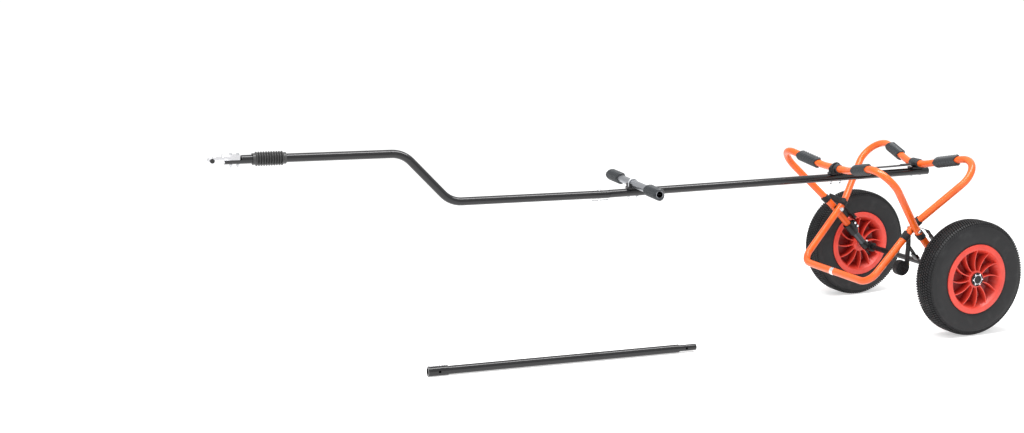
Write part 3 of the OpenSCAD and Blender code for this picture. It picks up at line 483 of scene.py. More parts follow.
@dataclass(frozen=True)
class Webbing(Finish):
    """Woven strap: twill ribs along it and picks across it, read from its UV map."""

    colour: Colour = (0.005, 0.005, 0.006)
    light: Colour = (0.022, 0.022, 0.024)
    rib: float = 0.0021
    pick: float = 0.0013

    def mix_on(self, bench: Bench) -> None:
        """Puts the weave together."""
        where = bench.cloth_place()
        across = where.axis("Y") * (FULL_TURN / self.rib)
        along = where.axis("X") * (FULL_TURN / self.pick)
        weave = (across.sine() * along.sine()).spread(0.5, 1.0)
        ribs = across.sine().size()
        height = weave * 0.55 + ribs * 0.45
        bench.coat(
            Base_Color=bench.mix(height.ramp(0.3, 1.0), self.colour, self.light),
            Roughness=height.spread(0.82, 0.62),
            Normal=bench.bump(height, 0.00035, 0.8),
            Specular_IOR_Level=0.30,
            Sheen_Weight=0.08,
        )


@dataclass(frozen=True)
class Elastic(Finish):
    """Thin covered elastic with a twisted cover."""

    colour: Colour = (0.55, 0.44, 0.10)
    shade: Colour = (0.20, 0.16, 0.06)

    def mix_on(self, bench: Bench) -> None:
        """Puts the elastic together."""
        twist = bench.noise(1500, 1)
        bench.coat(
            Base_Color=bench.mix(twist.ramp(0.35, 0.65), self.colour, self.shade),
            Roughness=0.6,
            Normal=bench.bump(twist, 0.0001, 0.6),
        )


class Paint(Enum):
    """The finishes of this trailer."""

    ORANGE = PowderCoat("orange_powder_coat")
    BLACK_TUBE = GlossBlack("black_enamel")
    BLACK_STEEL = GlossBlack("black_steel_paint", (0.008, 0.008, 0.009), gloss=0.30)
    RED = RedPlastic("red_plastic")
    PAD = SoftRubber("pad_rubber")
    # Painted highlight: the bellows' crest colour is a faint lighter grey on the tops of their
    # ribs.
    BELLOWS = SoftRubber("bellows_rubber", (0.006, 0.006, 0.007), crest=(0.03, 0.03, 0.032),
                         rough=0.40)
    NYLON = BlackPlastic("black_nylon")
    ZINC = PlatedSteel("zinc_plate")
    CHROME = PlatedSteel("bright_plate", (0.80, 0.80, 0.82), (0.62, 0.62, 0.64), 0.14)
    GREY = GreyAluminium("grey_tube_metal")
    DARK_METAL = GreyAluminium("dark_tube_metal", (0.10, 0.105, 0.115), (0.06, 0.065, 0.07))
    WEB = Webbing("black_webbing")
    ELASTIC = Elastic("yellow_elastic")


# ------------------------------------------------------------------ modelling moves


def deselect() -> None:
    """Leaves edit mode and deselects everything."""
    if bpy.context.object and bpy.context.object.mode != "OBJECT":
        bpy.ops.object.mode_set(mode="OBJECT")
    bpy.ops.object.select_all(action="DESELECT")


def activate(piece: Piece) -> None:
    """Makes a piece the only selected one, and the active one."""
    deselect()
    piece.select_set(True)
    bpy.context.view_layer.objects.active = piece


@contextmanager
def editing(piece: Piece) -> Iterator[None]:
    """Opens a piece in edit mode with all of it selected, and closes it again."""
    activate(piece)
    bpy.ops.object.mode_set(mode="EDIT")
    bpy.ops.mesh.select_mode(type="VERT")
    bpy.ops.mesh.select_all(action="SELECT")
    yield
    bpy.ops.object.mode_set(mode="OBJECT")


def weld(piece: Piece, distance: float = WELD) -> Piece:
    """Merges doubles and turns all faces outwards."""
    with editing(piece):
        bpy.ops.mesh.remove_doubles(threshold=distance)
        bpy.ops.mesh.normals_make_consistent(inside=False)
    return piece


def started(name: str) -> Piece:
    """Names the primitive that was just added, and puts its place into its mesh."""
    piece = bpy.context.object
    piece.name = name
    piece.data.name = name
    bpy.ops.object.transform_apply(location=True, rotation=True, scale=True)
    return piece


def smooth(piece: Piece, angle: float = 35.0) -> Piece:
    """Shades a piece smooth, except at edges sharper than an angle in degrees."""
    activate(piece)
    bpy.ops.object.shade_smooth_by_angle(angle=math.radians(angle))
    return piece


def placed(piece: Piece, matrix: Matrix) -> Piece:
    """Moves a piece's mesh, so that the object itself stays at the origin."""
    piece.data.transform(matrix)
    piece.data.update()
    return piece


def copied(piece: Piece, name: str) -> Piece:
    """Copies a piece, with its own mesh."""
    twin = bpy.data.objects.new(name, piece.data.copy())
    bpy.context.scene.collection.objects.link(twin)
    return twin


def joined(name: str, pieces: Sequence[Piece]) -> Piece:
    """Joins pieces into one with the given name."""
    activate(pieces[0])
    for piece in pieces:
        piece.select_set(True)
    bpy.ops.object.join()
    pieces[0].name = name
    return pieces[0]


def finished(piece: Piece, kind: str, **settings: object) -> Piece:
    """Adds one modifier and applies it.

    Args:
        piece: The piece to work on.
        kind: The modifier's type.
        settings: Its attributes.

    Returns:
        The piece.
    """
    modifier = piece.modifiers.new(kind.lower(), kind)
    for key, value in settings.items():
        setattr(modifier, key, value)
    activate(piece)
    bpy.ops.object.modifier_apply(modifier=modifier.name)
    return piece


def rounded(piece: Piece, width: float, segments: int = 2) -> Piece:
    """Rounds a piece's sharp edges to a width in metres."""
    return finished(
        piece, "BEVEL", width=width, segments=segments, limit_method="ANGLE",
        angle_limit=math.radians(35),
    )


def sculpted(piece: Piece, move: Callable[[Vector], Point]) -> Piece:
    """Moves each vertex to where a rule says."""
    for vertex in piece.data.vertices:
        vertex.co = move(vertex.co.copy())
    piece.data.update()
    return piece


def traced(name: str, points: Sequence[Point], closed: bool = True) -> Piece:
    """Draws a wire vertex by vertex, by extruding from a first one.

    Args:
        name: The piece's name.
        points: The corners in order.
        closed: Whether the wire runs back to its start.

    Returns:
        A piece that holds the wire alone.
    """
    route = [Vector(point) for point in points]
    if closed:
        route.append(route[0])
    deselect()
    bpy.ops.mesh.primitive_plane_add(size=MM, location=route[0])
    piece = started(name)
    with editing(piece):
        bpy.ops.mesh.merge(type="CENTER")
        for start, end in zip(route, route[1:]):
            bpy.ops.mesh.extrude_region_move(TRANSFORM_OT_translate={"value": end - start})
    return piece


def turned(name: str, outline: Sequence[tuple[float, float]], steps: int = 96) -> Piece:
    """Turns an outline round the Z axis, as on a lathe.

    Args:
        name: The piece's name.
        outline: Radius and height of each corner, closed on itself.
        steps: Facets round the piece.

    Returns:
        A closed turned piece on the Z axis.
    """
    piece = traced(name, [(radius, 0, height) for radius, height in outline])
    with editing(piece):
        bpy.ops.mesh.spin(steps=steps, angle=FULL_TURN, center=(0, 0, 0), axis=(0, 0, 1))
    return weld(piece)


def crested(piece: Piece, root: float, height: float) -> Piece:
    """Keeps how far each point of a turned piece stands off a root radius, from 0 to 1."""
    # The stored value is the mask of the painted highlight on rib crests in the rubber finishes.
    crest = piece.data.attributes.new("crest", "FLOAT", "POINT")
    for vertex in piece.data.vertices:
        off = math.hypot(vertex.co.x, vertex.co.y) - root
        crest.data[vertex.index].value = min(1.0, max(0.0, off / height))
    return piece


def ring_round(name: str, radius: float, wire: float, steps: int = 32) -> Piece:
    """A closed ring of wire on the Z axis."""
    outline = [
        (radius + wire * math.cos(FULL_TURN * k / 8), wire * math.sin(FULL_TURN * k / 8))
        for k in range(8)
    ]
    return smooth(turned(name, outline, steps))


def frame_at(origin: Point, axis: Point, up: Point = (0, 0, 1)) -> Matrix:
    """A frame whose Z axis is given and whose X axis leans as near as it can to up."""
    z_axis = Vector(axis).normalized()
    x_axis = Vector(up) - z_axis * z_axis.dot(Vector(up))
    x_axis.normalize()
    y_axis = z_axis.cross(x_axis)
    matrix = Matrix((x_axis, y_axis, z_axis)).transposed().to_4x4()
    matrix.translation = Vector(origin)
    return matrix


def ribbon(name: str, stations: Sequence[tuple[Vector, Vector]], width: float,
           thickness: float) -> Piece:
    """Lays a strap along stations, with a UV map in metres.

    Args:
        name: The piece's name.
        stations: For each place along the strap, its middle and the way across it.
        width: The strap's width.
        thickness: Its thickness.

    Returns:
        A closed strap with rounded edges.
    """
    count = len(stations) - 1
    run = [0.0]
    for (start, _), (end, _) in zip(stations, stations[1:]):
        run.append(run[-1] + (end - start).length)
    deselect()
    bpy.ops.mesh.primitive_grid_add(x_subdivisions=count, y_subdivisions=4, size=1)
    piece = started(name)
    for loop in piece.data.uv_layers[0].data:
        place = loop.uv[0] * count
        low = min(int(place), count - 1)
        along = run[low] + (run[low + 1] - run[low]) * (place - low)
        loop.uv = (along, loop.uv[1] * width)

    def lay(point: Vector) -> Vector:
        """Puts a grid point on the strap."""
        middle, across = stations[min(count, max(0, round((point.x + 0.5) * count)))]
        return middle + across * point.y * width

    sculpted(piece, lay)
    finished(piece, "SOLIDIFY", thickness=thickness, offset=0, use_even_offset=True)
    with editing(piece):
        bpy.ops.mesh.normals_make_consistent(inside=False)
    return smooth(rounded(piece, thickness * 0.3, 1), 50)


def softened(node: str, width: float) -> Piece:
    """Copies a CAD node, merges its loose triangles and rounds its sharp edges.

    Args:
        node: The CAD node's name.
        width: Width of the rounding, in metres.

    Returns:
        A new piece, in the node's place.
    """
    piece = bpy.data.objects.new(node + "_soft", bpy.data.objects[node].data.copy())
    bpy.context.scene.collection.objects.link(piece)
    activate(piece)
    bpy.ops.mesh.customdata_custom_splitnormals_clear()
    with editing(piece):
        bpy.ops.mesh.remove_doubles(threshold=WELD * 10)
        bpy.ops.mesh.dissolve_limited(angle_limit=math.radians(1.0))
        bpy.ops.mesh.normals_make_consistent(inside=False)
    return smooth(rounded(piece, width), 40)


# ------------------------------------------------------------------ dressing


def fit(piece: Piece, body: str, paint: Paint | Finish, slot: str, *nodes: str) -> Piece:
    """Dresses a finished piece, hangs it on a body and lets it stand for CAD nodes.

    Args:
        piece: The finished piece.
        body: The body that carries it.
        paint: Its finish.
        slot: Not used.
        nodes: CAD nodes that it replaces.

    Returns:
        The piece.
    """
    finish = paint.value if isinstance(paint, Paint) else paint
    piece.data.materials.clear()
    piece.data.materials.append(finish.material())
    if nodes:
        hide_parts(*nodes)
    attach(piece, body)
    LOG.info("%s on %s, %d faces", piece.name, body, len(piece.data.polygons))
    return piece


def paint_nodes(paint: Paint | Finish, *nodes: str) -> None:
    """Gives CAD nodes that keep their shape a finish."""
    finish = paint.value if isinstance(paint, Paint) else paint
    for node in nodes:
        for holder in bpy.data.objects[node].material_slots:
            holder.material = finish.material()
        LOG.info("%s keeps its shape, in %s", node, finish.name)


def fit_softened(paint: Paint, slot: str, body: str, width: float, *nodes: str) -> None:
    """Replaces CAD nodes with softened copies of themselves."""
    for node in nodes:
        fit(softened(node, width), body, paint, slot, node)


# ------------------------------------------------------------------ shared places


@dataclass(frozen=True)
class Loop:
    """One of the two crossed cradle loops, seen from the crossing bolt."""

    pivot: Vector
    lean: float
    half_width: float
    knee: float
    flat: float
    slope: float
    flare: float
    taper: float = math.radians(3.0)
    rise: float = 0.2582

    def at(self, across: float, up: float, off: float = 0.0) -> Vector:
        """A point on the loop's plane, or off it on its rear side."""
        turn = Matrix.Rotation(self.lean, 3, "Y")
        return self.pivot + turn @ Vector((off, across, up))

    def leg(self, up: float) -> float:
        """Half the loop's width at a height."""
        slope = math.tan(self.flare if up > self.knee else self.taper)
        return self.half_width + (up - self.knee) * slope

    def frame(self, side: int, up: float) -> Matrix:
        """A frame on one leg: Z runs up the leg and X points off the loop, to the rear."""
        low, high = self.on_leg(side, up - MM), self.on_leg(side, up + MM)
        normal = self.at(0, 0, 1) - self.at(0, 0)
        return frame_at(self.on_leg(side, up), high - low, normal)

    def on_leg(self, side: int, up: float) -> Vector:
        """The middle of one leg at a height."""
        return self.at(side * self.leg(up), up)

    def on_bar(self, side: int, off: float) -> Vector:
        """The middle of the top bar on its slope, at a distance from the bar's middle."""
        run = off - self.flat
        across = self.flat + run * math.cos(self.slope)
        return self.at(side * across, self.rise + run * math.sin(self.slope))


@dataclass(frozen=True)
class Plan:
    """Places that several sub-assemblies share."""

    axle: Vector
    crossing: tuple[float, float, float] = (-0.15859, 0.0, 0.15874)
    saddle_rise: float = 0.35182
    saddle_reach: float = 0.17143
    lean: float = math.radians(41.6)

    @classmethod
    def read(cls) -> "Plan":
        """Takes the axle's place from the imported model."""
        low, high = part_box("axle")
        return cls(axle=(low + high) / 2)

    @property
    def pivot(self) -> Vector:
        """The middle between the two crossing bolts."""
        return self.axle + Vector(self.crossing)

    @property
    def front(self) -> Loop:
        """The loop that carries the wheels."""
        slope, flare = math.radians(14.0), math.radians(19.4)
        return Loop(self.pivot, -self.lean, 0.246, 0.014, 0.075, slope, flare)

    @property
    def rear(self) -> Loop:
        """The loop that swings."""
        slope, flare = math.radians(16.8), math.radians(23.4)
        return Loop(self.pivot, self.lean, 0.21664, 0.031, 0.045, slope, flare)

    def saddle(self, end: int) -> Vector:
        """The middle of a top bar over the drawbar: -1 is the front one, 1 the rear one."""
        reach = self.crossing[0] + end * self.saddle_reach
        return self.axle + Vector((reach, 0, self.saddle_rise))

    @property
    def upper_tube(self) -> Matrix:
        """The frame of the front drawbar tube, from the lock pin."""
        pin = self.axle + Vector((-1.25616, 0, 0.31922))
        return Matrix.Translation(pin) @ Matrix.Rotation(math.radians(1.2), 4, "Y")


# ------------------------------------------------------------------ rubber sleeves


@dataclass(frozen=True)
class ChevronSleeve:
    """Ribbed rubber sleeve whose ribs and ends run in a zigzag round the tube."""

    length: float
    radius: float
    bore: float = 0.01256
    ribs: int = 8
    rib_height: float = 0.0034
    zigzag: float = 0.0066

    def build(self, name: str, origin: Vector, axis: Vector) -> Piece:
        """Models the sleeve.

        Args:
            name: The piece's name.
            origin: The middle of the sleeve.
            axis: The tube's direction, towards the trailer's left side.

        Returns:
            The sleeve in its place.
        """
        half = self.length / 2
        pitch = self.length / self.ribs
        root = self.radius - self.rib_height
        outline = [(self.bore, -half), (root, -half)]
        profile = ((0.16, 0.0), (0.27, 0.86), (0.34, 1.0), (0.52, 1.0), (0.60, 0.90), (0.86, 0.0))
        for rib in range(self.ribs):
            base = -half + rib * pitch
            outline += [
                (root + self.rib_height * height, base + share * pitch)
                for share, height in profile
            ]
        outline += [(root, half), (self.bore, half)]
        piece = crested(turned(name, outline, 72), root, self.rib_height)

        def shift(point: Vector) -> Vector:
            """Slides a point along the tube by its place round it."""
            turn = math.atan2(point.y, point.x)
            wave = math.asin(math.cos(2 * turn) * 0.985) / math.asin(0.985)
            return point + Vector((0, 0, self.zigzag * wave))

        sculpted(piece, shift)
        return smooth(placed(piece, frame_at(origin, axis)), 32)


# ------------------------------------------------------------------ wheels


@dataclass
class Wheel:
    """One pneumatic wheel: tyre with its tread, moulded rim, bushes and inner tube."""

    plan: Plan
    side: int
    body: str
    half_track: float = 0.335
    tread_radius: float = 0.200
    carcass_radius: float = 0.1945
    lugs: int = 132
    lug_height: float = 0.0062
    lug_share: float = 0.68  # length of a block, as a share of the pitch
    lug_taper: tuple[float, float] = (0.74, 0.86)
    lug_slant: float = 0.30
    middle_row_width: float = 0.0076
    # For each row beside the middle one: distance from the tyre's middle plane, radius at the
    # top, width, tilt towards the side wall in degrees, and turn as a share of a pitch.
    rows: tuple[tuple[float, float, float, float, float], ...] = (
        (0.0112, 0.2000, 0.0086, 0, 0.5), (0.0224, 0.1996, 0.0086, 6, 0.0),
        (0.0335, 0.1962, 0.0100, 33, 0.5), (0.0402, 0.1886, 0.0062, 58, 0.0),
    )

    @property
    def label(self) -> str:
        """Left or right, as in the nodes' names."""
        return "left" if self.side < 0 else "right"

    def hub(self) -> Matrix:
        """The wheel's frame: Z is its axle, pointing outwards."""
        centre = self.plan.axle + Vector((0, self.side * self.half_track, 0))
        return frame_at(centre, (0, self.side, 0), (1, 0, 0))

    def carcass(self) -> Piece:
        """Turns the tyre's casing, from bead to bead."""
        half = [
            (self.carcass_radius, 0.0), (self.carcass_radius, 0.0268),
            (0.1930, 0.0310), (0.1905, 0.0350), (0.1868, 0.0388), (0.1818, 0.0416),
            (0.1768, 0.0430), (0.1756, 0.0426), (0.1744, 0.0434), (0.1690, 0.0440),
            (0.1600, 0.04395), (0.1500, 0.0434), (0.1400, 0.0424), (0.1320, 0.0412),
            (0.1272, 0.0402), (0.1262, 0.0392), (0.1246, 0.0397), (0.1228, 0.0392),
            (0.1212, 0.0377),
        ]
        inside = [(0.1075, 0.0372), (0.1075, 0.0275), (0.1200, 0.0290), (0.1900, 0.0300)]
        right = half + inside
        left = [(radius, -height) for radius, height in reversed(right[1:])]
        return smooth(turned("tyre_pattern", right + left, 144), 30)

    def lug_row(self, offset: float, radius: float, width: float, tilt: float,
                phase: float) -> Piece:
        """Models one tread block and repeats it round the tyre.

        Args:
            offset: Distance of the row from the tyre's middle plane.
            radius: Radius at the top of the blocks.
            width: Width of a block across the tread.
            tilt: Turn of the blocks towards the side wall, in degrees.
            phase: Share of a pitch by which the row is turned.

        Returns:
            The whole row.
        """
        pitch = FULL_TURN * self.tread_radius / self.lugs
        height = self.lug_height
        deselect()
        bpy.ops.mesh.primitive_cube_add(size=1, scale=(height, pitch * self.lug_share, width))
        block = started(f"row_{offset * 1000:.0f}")
        with editing(block):
            bpy.ops.mesh.select_all(action="DESELECT")
        for polygon in block.data.polygons:
            polygon.select = polygon.normal.x > 0.9
        activate(block)
        bpy.ops.object.mode_set(mode="EDIT")
        bpy.ops.mesh.select_mode(type="FACE")
        bpy.ops.transform.resize(value=(1, *self.lug_taper))
        bpy.ops.object.mode_set(mode="OBJECT")
        slant = self.lug_slant * (1 if offset >= 0 else -1)
        sculpted(block, lambda p: Vector((p.x, p.y + slant * p.z, p.z)))
        lean = Matrix.Rotation(math.radians(tilt), 4, "Y")
        spot = Matrix.Translation((radius, 0, offset)) @ lean
        spot = Matrix.Rotation(phase * FULL_TURN / self.lugs, 4, "Z") @ spot
        placed(block, spot @ Matrix.Translation((-height / 2, 0, 0)))
        with editing(block):
            bpy.ops.mesh.spin(
                steps=self.lugs - 1, dupli=True, center=(0, 0, 0), axis=(0, 0, 1),
                angle=FULL_TURN * (self.lugs - 1) / self.lugs,
            )
            bpy.ops.mesh.normals_make_consistent(inside=False)
        return block

    def tyre(self) -> Piece:
        """Models the tyre with all rows of its tread, on the Z axis."""
        rows = [self.lug_row(0.0, self.tread_radius, self.middle_row_width, 0, 0.0)]
        for hand in (-1, 1):
            for offset, radius, width, tilt, phase in self.rows:
                rows.append(self.lug_row(hand * offset, radius, width, -hand * tilt, phase))
        return joined("tyre_pattern", [self.carcass()] + rows)

    def dress(self, tyre: Piece) -> None:
        """Puts a modelled tyre in its place and dresses the whole wheel."""
        rubber = TyreRubber("tyre_rubber", tuple(self.plan.axle))
        fit(placed(tyre, self.hub()), self.body, rubber, "tyre", f"tyre_{self.label}")
        rim = softened(f"rim_{self.label}", 0.0009)
        fit(rim, self.body, Paint.RED, "rim", f"rim_{self.label}")
        paint_nodes(Paint.PAD, f"inner_tube_{self.label}")
        paint_nodes(Paint.CHROME, f"hub_bushes_{self.label}")


@dataclass
class WheelPair:
    """Both wheels. Their tyre is modelled once, and each wheel takes a copy of it."""

    plan: Plan

    def build(self) -> None:
        """Builds the tyre and dresses both wheels."""
        wheels = [Wheel(self.plan, -1, "wheel_left"), Wheel(self.plan, 1, "wheel_right")]
        pattern = wheels[0].tyre()
        for wheel in wheels:
            wheel.dress(copied(pattern, f"tyre_{wheel.label}_tread"))
        bpy.data.objects.remove(pattern)


@dataclass
class AxleLine:
    """Axle, spacers, washers, brackets and the caps that hold the wheels."""

    plan: Plan
    cap_radius: float = 0.0233
    cap_face: float = 0.3840
    cap_seat: float = 0.3762
    screws: int = 6
    screw_circle: float = 0.0187

    def seat(self, side: int) -> Matrix:
        """The frame of one cap: Z points outwards from its seat."""
        centre = self.plan.axle + Vector((0, side * self.cap_seat, 0))
        return frame_at(centre, (0, side, 0), (1, 0, 0))

    def cap(self, side: int) -> Piece:
        """Turns one push-on cap with its fingers and bright screws."""
        height = self.cap_face - self.cap_seat
        radius = self.cap_radius
        outline = [
            (0.0, 0.0), (radius, 0.0), (radius, 0.0034), (radius - 0.0010, 0.0046),
            (0.0150, 0.0048), (0.0144, 0.0056), (0.0138, height - 0.0010),
            (0.0126, height), (0.0090, height), (0.0082, height - 0.0016),
            (0.0, height - 0.0016),
        ]
        body = smooth(turned("cap_body", outline, 48))
        deselect()
        bpy.ops.mesh.primitive_cube_add(size=1, scale=(0.0052, 0.0040, 0.0036))
        finger = rounded(started("finger"), 0.0006)
        fingers = [finger] + [copied(finger, "finger") for _ in range(self.screws - 1)]
        for k, piece in enumerate(fingers):
            spot = Matrix.Rotation(FULL_TURN * (k + 0.5) / self.screws, 4, "Z")
            placed(piece, spot @ Matrix.Translation((0.0186, 0, 0.0058)))
        return placed(joined("cap_body", [body] + fingers), self.seat(side))

    def screw_heads(self, side: int) -> list[Piece]:
        """Turns the bright domed heads that stand round one cap."""
        outline = [(0.0, 0.0), (0.0030, 0.0), (0.0030, 0.0010), (0.0022, 0.0022),
                   (0.0011, 0.0028), (0.0, 0.0030)]
        head = smooth(turned("head", outline, 16))
        heads = [head] + [copied(head, "head") for _ in range(self.screws - 1)]
        for k, piece in enumerate(heads):
            spot = Matrix.Rotation(FULL_TURN * k / self.screws, 4, "Z")
            lift = Matrix.Translation((self.screw_circle, 0, 0.0044))
            placed(piece, self.seat(side) @ spot @ lift)
        return heads

    def bezel(self, side: int) -> Piece:
        """Turns the bright ring round one cap's black centre."""
        outline = [(0.0141, 0.0044), (0.0166, 0.0044), (0.0166, 0.0054), (0.0160, 0.0060),
                   (0.0148, 0.0060), (0.0141, 0.0054)]
        return placed(smooth(turned("bezel", outline, 48)), self.seat(side))

    def build(self) -> None:
        """Builds the caps and dresses the axle's pieces."""
        caps = joined("hub_caps_turned", [self.cap(-1), self.cap(1)])
        fit(caps, "chassis", Paint.NYLON, "black_plastic", "hub_caps")
        heads = joined("hub_cap_screws", [self.bezel(-1), self.bezel(1)]
                       + self.screw_heads(-1) + self.screw_heads(1))
        fit(heads, "chassis", Paint.CHROME, "zinc_steel")
        paint_nodes(Paint.BLACK_STEEL, "axle")
        paint_nodes(Paint.ZINC, "axle_spacers", "hub_washers", "bracket_bolts")
        fit_softened(Paint.NYLON, "black_plastic", "chassis", 0.0008, "axle_brackets")


# ------------------------------------------------------------------ cradle


@dataclass
class Cradle:
    """The two crossed orange loops with their pads, liners, saddles and fittings."""

    plan: Plan
    pad_length: float = 0.094
    pad_radius: float = 0.020
    pad_off: float = 0.151
    left_pad_off: float = 0.178

    def pads(self) -> None:
        """Models the four pads on the slopes of the top bars."""
        sleeve = ChevronSleeve(self.pad_length, self.pad_radius)
        for label, loop, body in (
            ("front", self.plan.front, "chassis"), ("rear", self.plan.rear, "rear_frame"),
        ):
            for side, hand in ((-1, "left"), (1, "right")):
                off = self.left_pad_off if (label, side) == ("front", -1) else self.pad_off
                middle = loop.on_bar(side, off)
                axis = (loop.on_bar(side, off + 0.01) - middle) * -side
                node = f"{label}_pad_{hand}"
                pad = sleeve.build(node + "_sleeve", middle, axis)
                fit(pad, body, Paint.PAD, "pad_rubber", node)

    def liners(self) -> None:
        """Models the liners between the top bars and the saddles."""
        for end, label, body, length, middle in (
            (-1, "front", "chassis", 0.039, -0.0035), (1, "rear", "rear_frame", 0.047, -0.0015),
        ):
            sleeve = ChevronSleeve(length, 0.0158, ribs=4, rib_height=0.0013, zigzag=0.0022)
            node = f"{label}_saddle_liner"
            centre = self.plan.saddle(end) + Vector((0, middle, 0))
            liner = sleeve.build(node + "_sleeve", centre, Vector((0, -1, 0)))
            fit(liner, body, Paint.PAD, "pad_rubber", node)

    def build(self) -> None:
        """Builds the rubber pieces and dresses the rest."""
        self.pads()
        self.liners()
        paint_nodes(Paint.ORANGE, "front_cradle_tube", "rear_cradle_tube")
        paint_nodes(Paint.CHROME, "crossbar_ferrule", "crossing_bolts", "crossing_nuts")
        paint_nodes(Paint.NYLON, "crossing_washers")
        paint_nodes(Paint.DARK_METAL, "leg_extensions")
        paint_nodes(Paint.CHROME, "leg_clamp_bolts", "rear_saddle_screws", "u_bolt_nuts")
        paint_nodes(Paint.BLACK_STEEL, "front_u_bolt")
        fit_softened(Paint.NYLON, "black_plastic", "chassis", 0.0008, "leg_clamps",
                     "front_saddle", "rear_saddle")


# ------------------------------------------------------------------ drawbar


@dataclass
class Drawbar:
    """The black drawbar tubes, their joint and the support bar for the bow."""

    plan: Plan
    support_turn: float = math.radians(-6)
    support_length: float = 0.436
    grip_length: float = 0.096
    grip_radius: float = 0.020

    def grips(self) -> None:
        """Models the two sleeves on the support bar."""
        sleeve = ChevronSleeve(self.grip_length - 0.002, self.grip_radius)
        low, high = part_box("support_bar")
        centre = (low + high) / 2
        along = Matrix.Rotation(self.support_turn, 3, "Z") @ Vector((0, 1, 0))
        for side, hand in ((-1, "left"), (1, "right")):
            node = f"support_grip_{hand}"
            reach = (self.support_length - self.grip_length + 0.006) / 2
            middle = centre + along * side * reach
            grip = sleeve.build(node + "_sleeve", middle, -along)
            fit(grip, "chassis", Paint.PAD, "pad_rubber", node)

    def build(self) -> None:
        """Builds the grips and dresses the drawbar."""
        self.grips()
        paint_nodes(Paint.BLACK_TUBE, "drawbar_rear", "drawbar_front")
        paint_nodes(Paint.NYLON, "drawbar_end_cap")
        paint_nodes(Paint.GREY, "support_bar")
        paint_nodes(Paint.ZINC, "drawbar_spigot", "support_u_bolt")
        paint_nodes(Paint.CHROME, "lock_pin", "lock_pin_clip")
        fit_softened(Paint.NYLON, "black_plastic", "chassis", 0.0008, "support_saddle")


# ------------------------------------------------------------------ hitch


@dataclass
class Hitch:
    """The flexible coupling at the front of the drawbar."""

    plan: Plan
    rise: float = 0.160
    bellows_start: float = -1.053
    bellows_length: float = 0.102
    radius: float = 0.022
    ribs: int = 11
    rib_height: float = 0.0044
    wall: float = 0.0022
    collar: float = 0.008
    bore: float = 0.01352

    def bellows_outline(self, start: float, end: float) -> list[tuple[float, float]]:
        """Outline of a stretch of the bellows, as radius and distance from its rear end.

        Args:
            start: Where the stretch starts.
            end: Where it ends.

        Returns:
            The closed outline of its wall.
        """
        pitch = (self.bellows_length - 2 * self.collar) / self.ribs
        steps = max(2, round((end - start) / pitch * 10))
        outer, inner = [], []
        for k in range(steps + 1):
            along = start + (end - start) * k / steps
            inside = self.collar <= along <= self.bellows_length - self.collar
            wave = math.cos(FULL_TURN * (along - self.collar) / pitch)
            crest = 0.5 - 0.5 * wave
            depth = self.rib_height * (1 - crest ** 0.8) if inside else self.rib_height
            radius = self.radius - depth
            outer.append((radius, along))
            inner.append((radius - self.wall if inside else self.bore, along))
        return outer + inner[::-1]

    def bellows(self) -> None:
        """Models the bellows in two halves, one for each hinge of the joint inside."""
        half = self.bellows_length / 2
        frame = self.plan.upper_tube @ frame_at(
            (self.bellows_start, 0, self.rise), (-1, 0, 0))
        for label, start, end, bodies in (
            ("rear", 0.0, half, ("chassis", "universal_cross")),
            ("front", half, self.bellows_length, ("universal_cross", "hitch_head")),
        ):
            outline = self.bellows_outline(start, end)
            piece = smooth(turned(f"bellows_{label}_half", outline, 64), 60)
            placed(crested(piece, self.radius - self.rib_height, self.rib_height), frame)
            piece.data.materials.clear()
            piece.data.materials.append(Paint.BELLOWS.value.material())
            if label == "rear":
                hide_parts("hitch_bellows")
            near = frame @ Vector((0, 0, start + (self.collar if start == 0 else 0)))
            far = frame @ Vector((0, 0, end - (self.collar if start > 0 else 0)))
            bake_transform(piece)
            LOG.info("%s bends between %s and %s", piece.name, *bodies)

    def build(self) -> None:
        """Builds the bellows and dresses the hitch."""
        self.bellows()
        paint_nodes(Paint.ZINC, "coupling_rear_yoke", "coupling_cross", "hitch_bolts")
        paint_nodes(Paint.BLACK_TUBE, "hitch_stub")
        paint_nodes(Paint.BLACK_STEEL, "hitch_pin")
        fit_softened(Paint.CHROME, "zinc_steel", "hitch_head", 0.0010, "hitch_bracket")


# ------------------------------------------------------------------ straps


def block(name: str, size: Point, middle: Point, width: float = 0.0006) -> Piece:
    """Makes one rounded block.

    Args:
        name: The piece's name.
        size: Its length along X, Y and Z.
        middle: Where its middle is.
        width: Width of the rounding.

    Returns:
        The block.
    """
    deselect()
    bpy.ops.mesh.primitive_cube_add(size=1, scale=tuple(size), location=tuple(middle))
    return rounded(started(name), width)


@dataclass(frozen=True)
class CamBuckle:
    """Cam buckle: a frame with two cheeks, a roller bar and a ribbed lever."""

    width: float = 0.025
    length: float = 0.028
    lever_tilt: float = math.radians(-13)
    teeth: int = 4

    def build(self, name: str, matrix: Matrix) -> Piece:
        """Models the buckle.

        Args:
            name: The piece's name.
            matrix: Its frame: Z runs up the strap, X off the strap's face.

        Returns:
            The buckle in its place.
        """
        cheek_y = self.width / 2 - 0.0011
        parts = [block(name, (0.0030, self.width, self.length), (0, 0, 0))]
        for hand in (-1, 1):
            parts.append(block("cheek", (0.0090, 0.0022, 0.018), (0.0045, hand * cheek_y, 0)))
        bar = [(0.0, -cheek_y), (0.0021, -cheek_y), (0.0021, cheek_y), (0.0, cheek_y)]
        roller = turned("roller", bar, 16)
        parts.append(placed(roller, frame_at((0.0056, 0, 0.0052), (0, 1, 0), (1, 0, 0))))
        lever = [block("lever", (0.0030, self.width - 0.0056, 0.021), (0, 0, 0))]
        for tooth in range(self.teeth):
            height = -0.0085 + tooth * 0.0030
            lever.append(block("tooth", (0.0016, self.width - 0.0076, 0.0014),
                               (0.0019, 0, height), 0.0003))
        turn = Matrix.Translation((0.0072, 0, -0.0022)) @ Matrix.Rotation(
            self.lever_tilt, 4, "Y")
        parts.append(placed(joined("lever", lever), turn))
        return smooth(placed(joined(name, parts), matrix))


